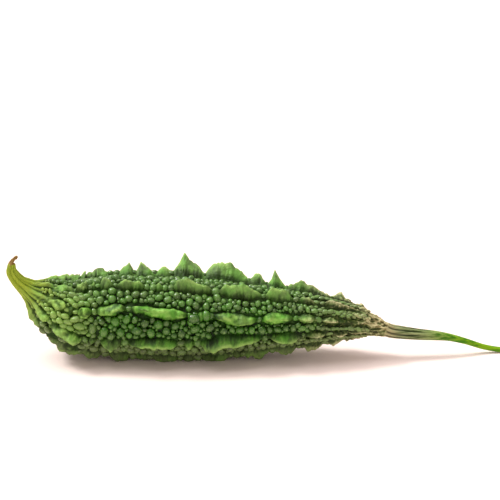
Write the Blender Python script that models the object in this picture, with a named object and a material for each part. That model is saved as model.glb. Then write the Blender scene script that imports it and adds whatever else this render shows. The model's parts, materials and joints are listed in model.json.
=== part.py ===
"""A bitter gourd as picked, lying on its side. It has three pieces: the fruit, with its eight
broken ridges and the warts between them, the stalk, and the dried flower end on its beak.
The long axis runs along X, beak at -X, and the fruit rests on two ridges at Z = 0.
All sizes are in millimetres until the meshes are written in metres."""

import math
import random

import bmesh
import bpy
from mathutils import Vector
from mathutils.geometry import delaunay_2d_cdt

MM = 0.001
GAP = 0.3

# Where the fruit's middle line runs from the beak's tip to the neck, with the radius of the
# flesh under the ridges, the usual height of a ridge, and the size of a wart against the largest.
# x, y, z, flesh radius, ridge height, wart scale
FRUIT_STATIONS = [
    (-128.3, -2.8, 50.4, 1.7, 0.3, 0.30),
    (-128.4, -2.7, 46.4, 2.3, 0.5, 0.30),
    (-125.7, -2.4, 41.6, 2.8, 0.7, 0.32),
    (-122.0, -2.1, 38.1, 3.8, 0.9, 0.36),
    (-118.2, -1.8, 35.2, 5.6, 1.4, 0.44),
    (-112.6, -1.4, 32.0, 9.2, 2.5, 0.58),
    (-107.3, -1.1, 28.5, 12.3, 3.5, 0.72),
    (-102.4, -0.9, 25.4, 14.3, 4.2, 0.84),
    (-93.8, -0.6, 23.0, 16.1, 4.8, 0.95),
    (-74.7, -0.2, 22.5, 17.7, 5.3, 1.00),
    (-51.7, 0.0, 21.6, 18.0, 5.5, 1.00),
    (-30.2, -0.1, 21.2, 17.4, 5.4, 0.97),
    (-4.7, -0.5, 20.8, 14.6, 4.8, 0.88),
    (21.3, -1.0, 20.4, 11.4, 3.6, 0.72),
    (35.3, -1.2, 19.4, 9.0, 2.3, 0.60),
    (45.3, -1.3, 18.4, 6.9, 1.3, 0.46),
    (53.3, -1.3, 16.5, 4.8, 0.7, 0.36),
    (59.2, -1.2, 14.5, 3.2, 0.3, 0.30),
]

# The stalk leaves the neck squarely, droops to the table and is cut square at its end.
# distance from the fruit and radius where it leaves, then x, y, z, radius
STALK_LEAVES = [(GAP, 3.25), (GAP + 2.0, 3.2)]
STALK_STATIONS = [
    (65.8, -0.9, 12.9, 3.05),
    (75.3, -0.2, 11.5, 2.7),
    (83.3, 0.6, 10.6, 2.4),
    (91.3, 1.6, 9.1, 1.9),
    (100.3, 2.7, 6.3, 1.55),
    (108.3, 3.6, 3.3, 1.4),
    (116.3, 4.0, 1.55, 1.35),
    (124.3, 3.8, 1.25, 1.35),
    (131.0, 3.2, 1.3, 1.5),
]
STALK_SIDES = 16
STALK_RING_SPACING = 2.0
STALK_RIB_SHARE = 0.07
STALK_RIBS_END = 45.0

# The dried flower end: a brown curl that hooks over from the beak's tip.
# distance from the fruit and radius where it leaves, then x, y, z, radius
FLOWER_END_LEAVES = [(GAP, 1.35), (GAP + 0.5, 1.1)]
FLOWER_END_STATIONS = [
    (-127.7, -2.8, 52.1, 0.9),
    (-126.9, -2.8, 53.1, 0.75),
    (-126.0, -2.8, 53.9, 0.85),
    (-125.2, -2.8, 54.4, 0.55),
]
FLOWER_END_SIDES = 10
FLOWER_END_RING_SPACING = 0.6

RIDGE_COUNT = 8
FIRST_RIDGE_DEG = 22.5
RIDGE_STEP_DEG = 360.0 / RIDGE_COUNT
# each ridge wanders a little round the fruit, in a long wave and a short one: degrees, length
RIDGE_SWAYS = ((3.0, 150.0), (1.6, 43.0))
# the ridge that faces the viewer strays further from its place: distance along, degrees
FACING_RIDGE, FACING_STRAY = 6, ((20.0, 0.0), (62.0, 5.0), (124.0, -5.0), (148.0, 0.0))

# Each ridge is broken into bars with a tooth. Those of the side that the photograph shows
# are set from it, counted in millimetres along the middle line from the beak's tip.
# Ridge 3 is hidden: it is set so that the fruit rests on it and on ridge 4.
# start, end, place of the tooth, height of the tooth, and its own tooth power where a bar has one
SET_BARS = {
    0: [
        (22, 39, 34, 4.4, 0.7), (40, 46, 43, 5.0, 0.7), (46.4, 60, 53.5, 5.7, 0.5),
        (64.5, 71.8, 69.2, 8.0), (72.6, 81.5, 75, 8.5), (83, 90.5, 86.5, 5.8, 0.8),
        (91.5, 107.8, 97.5, 12.6, 1.25), (108.2, 129.3, 121.5, 8.7, 0.4), (130.5, 138.5, 135, 6.9, 0.8),
        (139.3, 149.2, 143.2, 9.6, 2.6), (149.6, 171, 157, 7.2), (171.5, 182.3, 176, 4.8, 0.6),
        (182.8, 189.5, 186, 3.2),
    ],
    3: [
        (24, 36, 30, 3.4), (37.5, 49, 43, 4.9), (51, 62, 57, 6.4), (64, 79, 72, 5.8),
        (81, 97, 88.5, 7.3), (99, 108, 103, 5.4), (110.5, 124, 116.5, 7.4), (126, 139, 131, 5.2),
        (142, 160, 149, 5.4), (163, 181, 170, 3.2),
    ],
    4: [
        (17.5, 33, 23, 4.6, 1.1), (38.3, 47, 42.5, 5.2, 0.8), (47.5, 56.5, 51.5, 5.6),
        (60, 72, 65.5, 5.4), (74, 81, 77, 4.8), (82, 95.5, 88.5, 7.5), (97, 104, 100.5, 5.2),
        (106.5, 121, 113, 7.4), (122.5, 127, 125, 5.0), (128.5, 141, 134, 6.0),
        (144, 155, 149.5, 6.1), (157, 168.5, 162.5, 4.8), (171, 180, 175, 2.5),
    ],
    5: [
        (19.5, 32.5, 26, 3.8), (34, 48.5, 41.5, 6.0, 0.6), (50, 54.5, 52, 4.4),
        (56, 68, 61, 5.4), (69.8, 95.5, 84, 5.8), (98, 104, 101, 4.6), (106.5, 137, 113.5, 6.8),
        (140.5, 157, 146, 4.9), (159, 170, 163, 3.4), (172, 181, 176, 2.4),
    ],
    6: [
        (27.5, 36, 31, 3.4), (37.5, 42, 40, 4.0), (43, 53, 48, 5.4), (54.2, 69.6, 60, 5.6),
        (71.3, 100.6, 77.8, 7.0), (104.5, 109.5, 107, 4.2), (113, 134.9, 118, 6.2),
        (136.7, 153, 141, 5.8), (154.5, 164, 158, 3.9), (166, 176, 170, 3.0),
    ],
    7: [
        (18.5, 26.5, 23, 2.7), (28, 32.5, 30, 3.8), (33.5, 50, 41, 5.4), (51, 54.5, 53, 4.6),
        (55.5, 63.3, 59.5, 6.9), (64, 78, 68.8, 7.2), (83, 87.5, 85.5, 4.6), (92, 112.5, 99.5, 8.8),
        (115, 137, 127, 7.6), (138, 152.8, 142, 7.2), (155, 163, 160, 3.9), (167, 185.5, 172, 3.4),
    ],
}
HIDDEN_BARS_SEED = 5
FIRST_BAR_START, LAST_BAR_END = 24.0, 184.0
BAR_LENGTHS = (9.0, 24.0)
BAR_GAPS = (1.5, 4.0)
TOOTH_GAIN = (1.05, 1.45)

BAR_RAMP = 3.2
# share of the usual height that is left in the breaks of each ridge
RIB_SHARES = (0.72, 0.35, 0.35, 0.55, 0.66, 0.3, 0.25, 0.35)
# share of it that the bars of each ridge have at their sides, below their teeth
BAR_SHARES = (0.95, 0.82, 0.82, 1.0, 1.0, 0.86, 0.9, 0.84)
# on the beak and the neck nothing breaks the ridges
END_RIB_SHARE = 0.9
BEAK_RIBS_END, NECK_RIBS_START = 24.0, 178.0
TOOTH_POWER = 1.5
CREST_SPACING = 8.0
FIN_START, FIN_END = 18.0, 190.0
FIN_LINE_SPACING = 6.5
BASE_HALF_WIDTH = 2.75
SHOULDER_SHARE = 0.6
SHOULDER_HEIGHT_SHARE = 0.76
# the two ridges that carry the fruit are blunt
RESTING_RIDGES = (3, 4)
RESTING_SHOULDER_HEIGHT_SHARE = 0.96
GAP_WIDTH_SHARE = 0.72
PANEL_WIDTH_SHARE = 0.62

WART_SEED = 23
WARTS_START, WARTS_END = 22.0, 184.0
# smallest and largest radius, tries in each valley, sides
WART_SIZES = ((2.0, 2.45, 500, 6), (1.55, 1.9, 900, 5), (1.15, 1.35, 60, 5))
WART_HEIGHT_SHARE = (1.15, 1.5)
WART_SHOULDER_SHARE = 0.77
WART_SHOULDER_HEIGHT_SHARE = 0.7
WART_CLEARANCE = 0.12
# how large the warts of each valley are beside those of the rest
VALLEY_WART_SCALE = (0.92, 0.85, 0.95, 0.88, 0.92, 1.0, 0.84, 0.88)
# warts no larger than this are plain cones
CONE_RADIUS = 1.62
BEAK_RING_SPACING = 4.0

FRUIT_GREEN = (0.055, 0.165, 0.022, 1.0)
STALK_GREEN = (0.135, 0.290, 0.030, 1.0)
FLOWER_BROWN = (0.190, 0.095, 0.030, 1.0)


def clear_scene():
    for old in list(bpy.data.objects):
        bpy.data.objects.remove(old)


def distances_along(stations):
    """How far each station is along the line through them."""
    along = [0.0]
    for here, there in zip(stations, stations[1:]):
        along.append(along[-1] + math.dist(here[:3], there[:3]))
    return along


class Track:
    """A smooth line through stations, with every column of the stations read along it."""

    def __init__(self, stations):
        self.along = distances_along(stations)
        self.columns = list(zip(*stations))
        self.length = self.along[-1]
        self.slopes = [self.slopes_of(column) for column in self.columns]

    def slopes_of(self, column):
        last = len(column) - 1
        slopes = []
        for i in range(last + 1):
            low, high = max(i - 1, 0), min(i + 1, last)
            slopes.append((column[high] - column[low]) / (self.along[high] - self.along[low]))
        return slopes

    def value(self, column, s):
        """Cubic Hermite value of one column at distance s, straight beyond the ends."""
        values, slopes, along = self.columns[column], self.slopes[column], self.along
        if s <= 0.0:
            return values[0] + slopes[0] * s
        if s >= self.length:
            return values[-1] + slopes[-1] * (s - self.length)
        i = max(j for j, start in enumerate(along[:-1]) if start <= s)
        step = along[i + 1] - along[i]
        t = (s - along[i]) / step
        return (
            values[i] * (1 + 2 * t) * (1 - t) ** 2
            + values[i + 1] * t * t * (3 - 2 * t)
            + step * slopes[i] * t * (1 - t) ** 2
            + step * slopes[i + 1] * t * t * (t - 1)
        )

    def point(self, s):
        return Vector([self.value(column, s) for column in range(3)])

    def axes(self, s):
        """Directions at s: along the line, up from it, and sideways towards +Y."""
        ahead = (self.point(s + 0.5) - self.point(s - 0.5)).normalized()
        side = Vector((0, 1, 0))
        side = (side - side.dot(ahead) * ahead).normalized()
        return ahead, ahead.cross(side), side

    def around(self, s, angle, radius):
        """The point at that distance from the line, with the angle counted from up towards +Y."""
        _, up, side = self.axes(s)
        return self.point(s) + radius * (math.cos(angle) * up + math.sin(angle) * side)


FRUIT = Track(FRUIT_STATIONS)
FLESH_RADIUS, RIDGE_HEIGHT, WART_SCALE = 3, 4, 5


def smoothstep(t):
    t = min(max(t, 0.0), 1.0)
    return t * t * (3 - 2 * t)


def even_steps(start, end, spacing):
    """Distances from start to end, about that far apart."""
    count = max(1, round((end - start) / spacing))
    return [start + (end - start) * i / count for i in range(count + 1)]


def grown_bars(rng):
    """Bars of a ridge that the photograph hides, with lengths and teeth at random."""
    bars, start = [], FIRST_BAR_START + rng.uniform(-2.0, 3.0)
    while start < LAST_BAR_END - BAR_LENGTHS[0]:
        end = min(start + rng.uniform(*BAR_LENGTHS), LAST_BAR_END)
        tooth = start + rng.uniform(0.3, 0.7) * (end - start)
        height = rng.uniform(*TOOTH_GAIN) * FRUIT.value(RIDGE_HEIGHT, tooth)
        bars.append((start, end, tooth, height))
        start = end + rng.uniform(*BAR_GAPS)
    return bars


def bars_of_all_ridges():
    rng = random.Random(HIDDEN_BARS_SEED)
    return [SET_BARS.get(ridge) or grown_bars(rng) for ridge in range(RIDGE_COUNT)]


BARS = bars_of_all_ridges()


def facing_stray(s):
    """How many degrees the ridge that faces the viewer strays at s."""
    for (start, first), (end, last) in zip(FACING_STRAY, FACING_STRAY[1:]):
        if start < s <= end:
            return first + (last - first) * smoothstep((s - start) / (end - start))
    return 0.0


def ridge_angle(ridge, s):
    """Where the ridge's crest lies round the fruit, in radians. It sways a little."""
    phase = 1.7 * (ridge % RIDGE_COUNT)
    sway = sum(size * math.sin(2 * math.pi * s / length + phase) for size, length in RIDGE_SWAYS)
    if ridge % RIDGE_COUNT == FACING_RIDGE:
        sway += facing_stray(s)
    return math.radians(FIRST_RIDGE_DEG + RIDGE_STEP_DEG * ridge + sway)


def crest_height(ridge, s):
    """Height of the crest over the flesh: a low rib that rises into each bar and its tooth."""
    usual = FRUIT.value(RIDGE_HEIGHT, s)
    ends = max(1 - s / BEAK_RIBS_END, (s - NECK_RIBS_START) / (FRUIT.length - NECK_RIBS_START))
    share = RIB_SHARES[ridge % RIDGE_COUNT]
    rib = usual * (share + (END_RIB_SHARE - share) * smoothstep(1.6 * ends))
    sides = BAR_SHARES[ridge % RIDGE_COUNT]
    for start, end, tooth, height, *own_power in BARS[ridge % RIDGE_COUNT]:
        if start < s < end:
            rise = smoothstep(min(s - start, end - s) / BAR_RAMP)
            reach = tooth - start if s < tooth else end - tooth
            peak = max(0.0, 1 - abs(s - tooth) / reach) ** (own_power or [TOOTH_POWER])[0]
            extra = height - sides * FRUIT.value(RIDGE_HEIGHT, tooth)
            return rib + rise * (sides * usual - rib) + peak * extra
    return rib


def half_panel(ridge, s):
    """Half the width of the valley from this ridge's crest to the next one's."""
    turn = ridge_angle(ridge + 1, s) - ridge_angle(ridge, s)
    return 0.5 * turn * FRUIT.value(FLESH_RADIUS, s)


def base_half_width(ridge, s):
    """Half the width of the ridge at its foot: narrow between bars, wide along them."""
    fullness = min(1.0, crest_height(ridge, s) / FRUIT.value(RIDGE_HEIGHT, s))
    share = GAP_WIDTH_SHARE + (1 - GAP_WIDTH_SHARE) * smoothstep(fullness)
    return min(BASE_HALF_WIDTH * share, PANEL_WIDTH_SHARE * half_panel(ridge, s))


def crest_stops(ridge):
    """Where the crest has points: at the ends, ramps and teeth of its bars, and in between."""
    marks = {0.0, FIN_START, FIN_END, FRUIT.length}
    for start, end, tooth, *_ in BARS[ridge % RIDGE_COUNT]:
        marks |= {start, tooth, end}
        marks |= {start + BAR_RAMP * 0.8, end - BAR_RAMP * 0.8}
    stops = []
    for here, there in zip(sorted(marks), sorted(marks)[1:]):
        if there - here > 0.8 or there == FRUIT.length:
            stops += even_steps(here, there, CREST_SPACING)[:-1]
    return stops + [FRUIT.length]


CREST_STOPS = [crest_stops(ridge) for ridge in range(RIDGE_COUNT)]
BASE_STOPS = even_steps(FIN_START, FIN_END, FIN_LINE_SPACING)


def foot_lines(valley):
    """The feet of the two ridges beside a valley, as (s, y) points with y from its middle."""
    lower = [(s, base_half_width(valley, s) - half_panel(valley, s)) for s in BASE_STOPS]
    upper = [(s, half_panel(valley, s) - base_half_width(valley + 1, s)) for s in BASE_STOPS]
    return lower, upper


def read_line(line, s):
    """The y of a line of (s, y) points at s."""
    for (s0, y0), (s1, y1) in zip(line, line[1:]):
        if s <= s1:
            return y0 + (y1 - y0) * (s - s0) / (s1 - s0)
    return line[-1][1]


def place_warts(valley):
    """Warts of one valley, as (s, y, radius, height, sides, turn): large ones first, then
    smaller ones in the room that is left, each clear of the others and of the ridges' feet."""
    rng = random.Random(WART_SEED + valley)
    lower, upper = foot_lines(valley)
    warts = []
    for smallest, largest, tries, sides in WART_SIZES:
        for _ in range(tries):
            s = rng.uniform(WARTS_START, WARTS_END)
            radius = rng.uniform(smallest, largest) * VALLEY_WART_SCALE[valley]
            radius *= FRUIT.value(WART_SCALE, s)
            across, height, turn = rng.random(), rng.uniform(*WART_HEIGHT_SHARE), rng.random()
            room = radius + WART_CLEARANCE
            checks = (s - room, s, s + room)
            low = max(read_line(lower, at) for at in checks) + room
            high = min(read_line(upper, at) for at in checks) - room
            if low > high:
                continue
            y = low + across * (high - low)
            if all(math.hypot(s - w[0], y - w[1]) > room + w[2] for w in warts):
                warts.append((s, y, radius, height * radius, sides, turn))
    return warts


class Skin:
    """The fruit's skin while it is laid out: points with their place on the fruit."""

    def __init__(self):
        self.points = []
        self.faces = []

    def add(self, s, angle, height):
        self.points.append(FRUIT.around(s, angle, FRUIT.value(FLESH_RADIUS, s) + height))
        return len(self.points) - 1


class Valley:
    """One valley laid flat from crest to crest, with s along it and y across it in true size."""

    def __init__(self, skin, index):
        self.skin = skin
        self.index = index
        self.flat = []
        self.ids = []
        self.edges = []

    def angle(self, s, y):
        middle = 0.5 * (ridge_angle(self.index, s) + ridge_angle(self.index + 1, s))
        return middle + y / FRUIT.value(FLESH_RADIUS, s)

    def known(self, s, y, skin_id):
        self.flat.append(Vector((s, y)))
        self.ids.append(skin_id)
        return len(self.flat) - 1

    def new(self, s, y, height, laid=None):
        """A skin point at (s, y) and that height. laid is where it lies in the flat layout."""
        skin_id = self.skin.add(s, self.angle(s, y), height)
        return self.known(*(laid or (s, y)), skin_id)

    def line(self, points, closed=False):
        self.edges += list(zip(points, points[1:]))
        if closed:
            self.edges.append((points[-1], points[0]))

    def ring(self, wart, share, height):
        s, y, radius, _, sides, turn = wart
        points = []
        for i in range(sides):
            a = 2 * math.pi * (i + turn) / sides
            out = share * radius
            points.append(self.new(s + out * math.cos(a), y + out * math.sin(a), height))
        self.line(points, closed=True)

    def wart(self, wart):
        s, y, radius, height, _, _ = wart
        self.ring(wart, 1.0, 0.0)
        if radius > CONE_RADIUS:
            self.ring(wart, WART_SHOULDER_SHARE, WART_SHOULDER_HEIGHT_SHARE * height)
        self.new(s, y, height)

    def triangulate(self):
        made = delaunay_2d_cdt(self.flat, self.edges, [], 1, 1e-6)
        faces, sources = made[2], made[3]
        if any(len(source) != 1 for source in sources):
            raise ValueError(f"valley {self.index}: two lines of the skin cross")
        for face in faces:
            self.skin.faces.append([self.ids[sources[corner][0]] for corner in face])


def lay_crests(skin):
    """The crest points of every ridge, which the valleys on both sides share."""
    crests = []
    for ridge in range(RIDGE_COUNT):
        stops = CREST_STOPS[ridge]
        ids = [skin.add(s, ridge_angle(ridge, s), crest_height(ridge, s)) for s in stops]
        crests.append(list(zip(stops, ids)))
    return crests


def lay_flank(valley, ridge, side):
    """Shoulder and foot lines of one ridge on its side towards this valley."""
    def place(s, width):
        return side * (half_panel(valley.index, s) - width)

    share = RESTING_SHOULDER_HEIGHT_SHARE if ridge in RESTING_RIDGES else SHOULDER_HEIGHT_SHARE
    shoulder = []
    for s in CREST_STOPS[ridge % RIDGE_COUNT]:
        if FIN_START <= s <= FIN_END:
            width = SHOULDER_SHARE * base_half_width(ridge, s)
            shoulder.append(valley.new(s, place(s, width), share * crest_height(ridge, s)))
    valley.line(shoulder)
    valley.line([valley.new(s, place(s, base_half_width(ridge, s)), 0.0) for s in BASE_STOPS])


def lay_valley(skin, index, crests):
    """Fills one valley between two crests. It returns the ids of its middle points at the ends."""
    valley = Valley(skin, index)
    for ridge, side in ((index, -1), (index + 1, 1)):
        crest = crests[ridge % RIDGE_COUNT]
        line = [valley.known(s, side * half_panel(index, s), skin_id) for s, skin_id in crest]
        valley.line(line)
        lay_flank(valley, ridge, side)
    tip = valley.new(0.0, 0.0, 0.0)
    neck = valley.new(FRUIT.length, 0.0, 0.0)
    middles = even_steps(0.0, WARTS_START - 2.0, BEAK_RING_SPACING)[1:]
    middles += even_steps(WARTS_END + 4.0, FRUIT.length, BEAK_RING_SPACING)[:-1]
    for s in middles:
        valley.new(s, 0.0, 0.0)
    near_crest_start = next(i for i, k in enumerate(valley.ids) if k == crests[index][0][1])
    near_crest_end = next(i for i, k in enumerate(valley.ids) if k == crests[index][-1][1])
    after = crests[(index + 1) % RIDGE_COUNT]
    far_crest_start = next(i for i, k in enumerate(valley.ids) if k == after[0][1])
    far_crest_end = next(i for i, k in enumerate(valley.ids) if k == after[-1][1])
    valley.line([near_crest_start, tip, far_crest_start])
    valley.line([near_crest_end, neck, far_crest_end])
    for wart in place_warts(index):
        valley.wart(wart)
    valley.triangulate()
    return valley.ids[tip], valley.ids[neck]


def fruit_mesh():
    skin = Skin()
    crests = lay_crests(skin)
    tip_ring, neck_ring = [], []
    for index in range(RIDGE_COUNT):
        tip, neck = lay_valley(skin, index, crests)
        tip_ring += [crests[index][0][1], tip]
        neck_ring += [crests[index][-1][1], neck]
    skin.faces.append(tip_ring)
    skin.faces.append(neck_ring[::-1])
    return skin.points, skin.faces


def track_from_fruit(s, outward, leaves, stations):
    """A track that leaves one end of the fruit squarely, a gap away from it, and runs on."""
    ahead = outward * FRUIT.axes(s)[0]
    start = [(*(FRUIT.point(s) + distance * ahead), radius) for distance, radius in leaves]
    return Track(start + stations)


def tube_mesh(track, sides, spacing, radius_at):
    """A closed tube round a track. radius_at(s, angle) is its radius."""
    points, faces = [], []
    stops = even_steps(0.0, track.length, spacing)
    for s in stops:
        for i in range(sides):
            angle = 2 * math.pi * i / sides
            points.append(track.around(s, angle, radius_at(s, angle)))
    for row in range(len(stops) - 1):
        for i in range(sides):
            here, there = row * sides, (row + 1) * sides
            after = (i + 1) % sides
            faces.append([here + i, there + i, there + after, here + after])
    faces.append(list(range(sides)))
    faces.append([(len(stops) - 1) * sides + i for i in range(sides)][::-1])
    return points, faces


def stalk_mesh():
    track = track_from_fruit(FRUIT.length, 1, STALK_LEAVES, STALK_STATIONS)

    def radius(s, angle):
        ribs = STALK_RIB_SHARE * (1 - smoothstep(s / STALK_RIBS_END))
        phase = RIDGE_COUNT * (angle - math.radians(FIRST_RIDGE_DEG))
        return track.value(3, s) * (1 + ribs * math.cos(phase))

    return tube_mesh(track, STALK_SIDES, STALK_RING_SPACING, radius)


def flower_end_mesh():
    track = track_from_fruit(0.0, -1, FLOWER_END_LEAVES, FLOWER_END_STATIONS)
    return tube_mesh(track, FLOWER_END_SIDES, FLOWER_END_RING_SPACING, lambda s, _: track.value(3, s))


def material(name, colour, roughness):
    made = bpy.data.materials.new(name)
    made.use_nodes = True
    made.diffuse_color = colour
    shader = made.node_tree.nodes["Principled BSDF"]
    shader.inputs["Base Color"].default_value = colour
    shader.inputs["Roughness"].default_value = roughness
    shader.inputs["Metallic"].default_value = 0.0
    return made


def add_piece(name, points, faces, finish):
    """One closed object, with what would be under the table pressed flat onto it."""
    pressed = [Vector((p.x, p.y, max(p.z, 0.0))) * MM for p in points]
    mesh = bpy.data.meshes.new(name)
    mesh.from_pydata(pressed, [], faces)
    work = bmesh.new()
    work.from_mesh(mesh)
    bmesh.ops.triangulate(work, faces=work.faces[:])
    work.to_mesh(mesh)
    work.free()
    mesh.materials.append(finish)
    mesh.shade_smooth()
    piece = bpy.data.objects.new(name, mesh)
    bpy.context.scene.collection.objects.link(piece)
    return piece


def build():
    clear_scene()
    add_piece("fruit", *fruit_mesh(), material("fruit_skin", FRUIT_GREEN, 0.42))
    add_piece("stalk", *stalk_mesh(), material("stalk_green", STALK_GREEN, 0.45))
    add_piece("dried_flower_end", *flower_end_mesh(), material("dried_flower", FLOWER_BROWN, 0.8))


build()
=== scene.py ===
# %% [markdown]
# # A bitter gourd in Blender
#
# A bitter gourd is a long green fruit whose skin is all relief: eight broken ridges run from the
# curled beak to the neck, and round warts fill the valleys between them. This file dresses a plain
# solid model of one with the finer shapes and the finishes that such a skin has. The solid model
# comes first, because every piece made here has to lie where its solid lies.

# %% Load the solid model
import json
import math
import random

import bpy
import numpy as np
from mathutils import Matrix, Vector, noise

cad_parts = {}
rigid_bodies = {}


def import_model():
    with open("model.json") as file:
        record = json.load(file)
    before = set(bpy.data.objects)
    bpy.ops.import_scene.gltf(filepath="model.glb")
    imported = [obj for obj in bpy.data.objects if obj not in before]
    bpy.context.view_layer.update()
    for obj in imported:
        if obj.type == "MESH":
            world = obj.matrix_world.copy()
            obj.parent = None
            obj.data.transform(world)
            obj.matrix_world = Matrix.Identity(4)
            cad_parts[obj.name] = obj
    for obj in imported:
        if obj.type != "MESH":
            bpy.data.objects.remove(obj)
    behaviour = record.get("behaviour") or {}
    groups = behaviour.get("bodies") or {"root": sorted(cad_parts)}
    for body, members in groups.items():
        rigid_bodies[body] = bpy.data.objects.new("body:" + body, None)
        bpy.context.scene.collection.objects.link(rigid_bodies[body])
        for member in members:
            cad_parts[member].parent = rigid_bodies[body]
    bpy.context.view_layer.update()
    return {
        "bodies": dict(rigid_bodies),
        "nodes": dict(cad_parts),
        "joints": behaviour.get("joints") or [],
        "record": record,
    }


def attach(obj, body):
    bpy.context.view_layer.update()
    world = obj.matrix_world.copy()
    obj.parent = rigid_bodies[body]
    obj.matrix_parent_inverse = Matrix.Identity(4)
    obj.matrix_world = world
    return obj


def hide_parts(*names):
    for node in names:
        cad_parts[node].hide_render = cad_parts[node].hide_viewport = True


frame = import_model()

MM = 0.001
print("solid pieces:", sorted(frame["nodes"]))

# %% [markdown]
# ## The middle line
#
# A gourd grows along one bent line. Everything about it can be read along that line: how thick
# the flesh is, how high the ridges stand, how large the warts are. So the line is made first, as
# a smooth curve through a few stations, and every later piece asks it for places and directions.

# %% A smooth line through stations
# directions are read over this length
READ_MM = 1.0


def smoothstep(t):
    t = min(max(t, 0.0), 1.0)
    return t * t * (3 - 2 * t)


def distances_along(stations):
    """How far each station is along the line through them."""
    along = [0.0]
    for here, there in zip(stations, stations[1:]):
        along.append(along[-1] + math.dist(here[:3], there[:3]))
    return along


class Track:
    """A smooth line through stations, with every column of the stations read along it."""

    def __init__(self, stations):
        self.along = distances_along(stations)
        self.columns = list(zip(*stations))
        self.length = self.along[-1]
        self.slopes = [self.slopes_of(column) for column in self.columns]

    def slopes_of(self, column):
        last = len(column) - 1
        slopes = []
        for i in range(last + 1):
            low, high = max(i - 1, 0), min(i + 1, last)
            slopes.append((column[high] - column[low]) / (self.along[high] - self.along[low]))
        return slopes

    def value(self, column, s):
        """Cubic Hermite value of one column at distance s, straight beyond the ends."""
        values, slopes, along = self.columns[column], self.slopes[column], self.along
        if s <= 0.0:
            return values[0] + slopes[0] * s
        if s >= self.length:
            return values[-1] + slopes[-1] * (s - self.length)
        i = max(j for j, start in enumerate(along[:-1]) if start <= s)
        step = along[i + 1] - along[i]
        t = (s - along[i]) / step
        return (
            values[i] * (1 + 2 * t) * (1 - t) ** 2
            + values[i + 1] * t * t * (3 - 2 * t)
            + step * slopes[i] * t * (1 - t) ** 2
            + step * slopes[i + 1] * t * t * (t - 1)
        )

    def point(self, s):
        return Vector([self.value(column, s) for column in range(3)])

    def axes(self, s):
        """Directions at s: along the line, up from it, and sideways towards +Y."""
        ahead = (self.point(s + READ_MM / 2) - self.point(s - READ_MM / 2)).normalized()
        side = Vector((0, 1, 0))
        side = (side - side.dot(ahead) * ahead).normalized()
        return ahead, ahead.cross(side), side

    def outward(self, s, angle):
        """The direction away from the line, with the angle counted from up towards +Y."""
        _, up, side = self.axes(s)
        return math.cos(angle) * up + math.sin(angle) * side

    def around(self, s, angle, radius):
        return self.point(s) + radius * self.outward(s, angle)


print("a line from (0, 0, 0) to (3, 4, 0) has the length", Track([(0, 0, 0), (3, 4, 0)]).length)

# %% The fruit's own line
# x, y, z, flesh radius, ridge height, wart scale, all in millimetres but the last
FRUIT_STATIONS = [
    (-128.3, -2.8, 50.4, 1.7, 0.3, 0.30),
    (-128.4, -2.7, 46.4, 2.3, 0.5, 0.30),
    (-125.7, -2.4, 41.6, 2.8, 0.7, 0.32),
    (-122.0, -2.1, 38.1, 3.8, 0.9, 0.36),
    (-118.2, -1.8, 35.2, 5.6, 1.4, 0.44),
    (-112.6, -1.4, 32.0, 9.2, 2.5, 0.58),
    (-107.3, -1.1, 28.5, 12.3, 3.5, 0.72),
    (-102.4, -0.9, 25.4, 14.3, 4.2, 0.84),
    (-93.8, -0.6, 23.0, 16.1, 4.8, 0.95),
    (-74.7, -0.2, 22.5, 17.7, 5.3, 1.00),
    (-51.7, 0.0, 21.6, 18.0, 5.5, 1.00),
    (-30.2, -0.1, 21.2, 17.4, 5.4, 0.97),
    (-4.7, -0.5, 20.8, 14.6, 4.8, 0.88),
    (21.3, -1.0, 20.4, 11.4, 3.6, 0.72),
    (35.3, -1.2, 19.4, 9.0, 2.3, 0.60),
    (45.3, -1.3, 18.4, 6.9, 1.3, 0.46),
    (53.3, -1.3, 16.5, 4.8, 0.7, 0.36),
    (59.2, -1.2, 14.5, 3.2, 0.3, 0.30),
]
FRUIT = Track(FRUIT_STATIONS)
FLESH_RADIUS, RIDGE_HEIGHT, WART_SCALE = 3, 4, 5
print(f"the fruit's middle line is {FRUIT.length:.1f} mm long")

# %% [markdown]
# ## The ridges
#
# Eight ridges stand on the flesh like torn frills. Each is broken into bars a centimetre or two
# long, and most bars rise to a tooth. The bars on the side that faces the viewer are set one by
# one, as a carver would copy them, and so are those of the hidden ridge that the fruit rests on.
# A seeded draw grows the rest, so the far side is as varied without a second list. The solid model
# holds the same bars, so both agree.

# %% The bars that are set one by one
RIDGE_COUNT = 8
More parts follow.
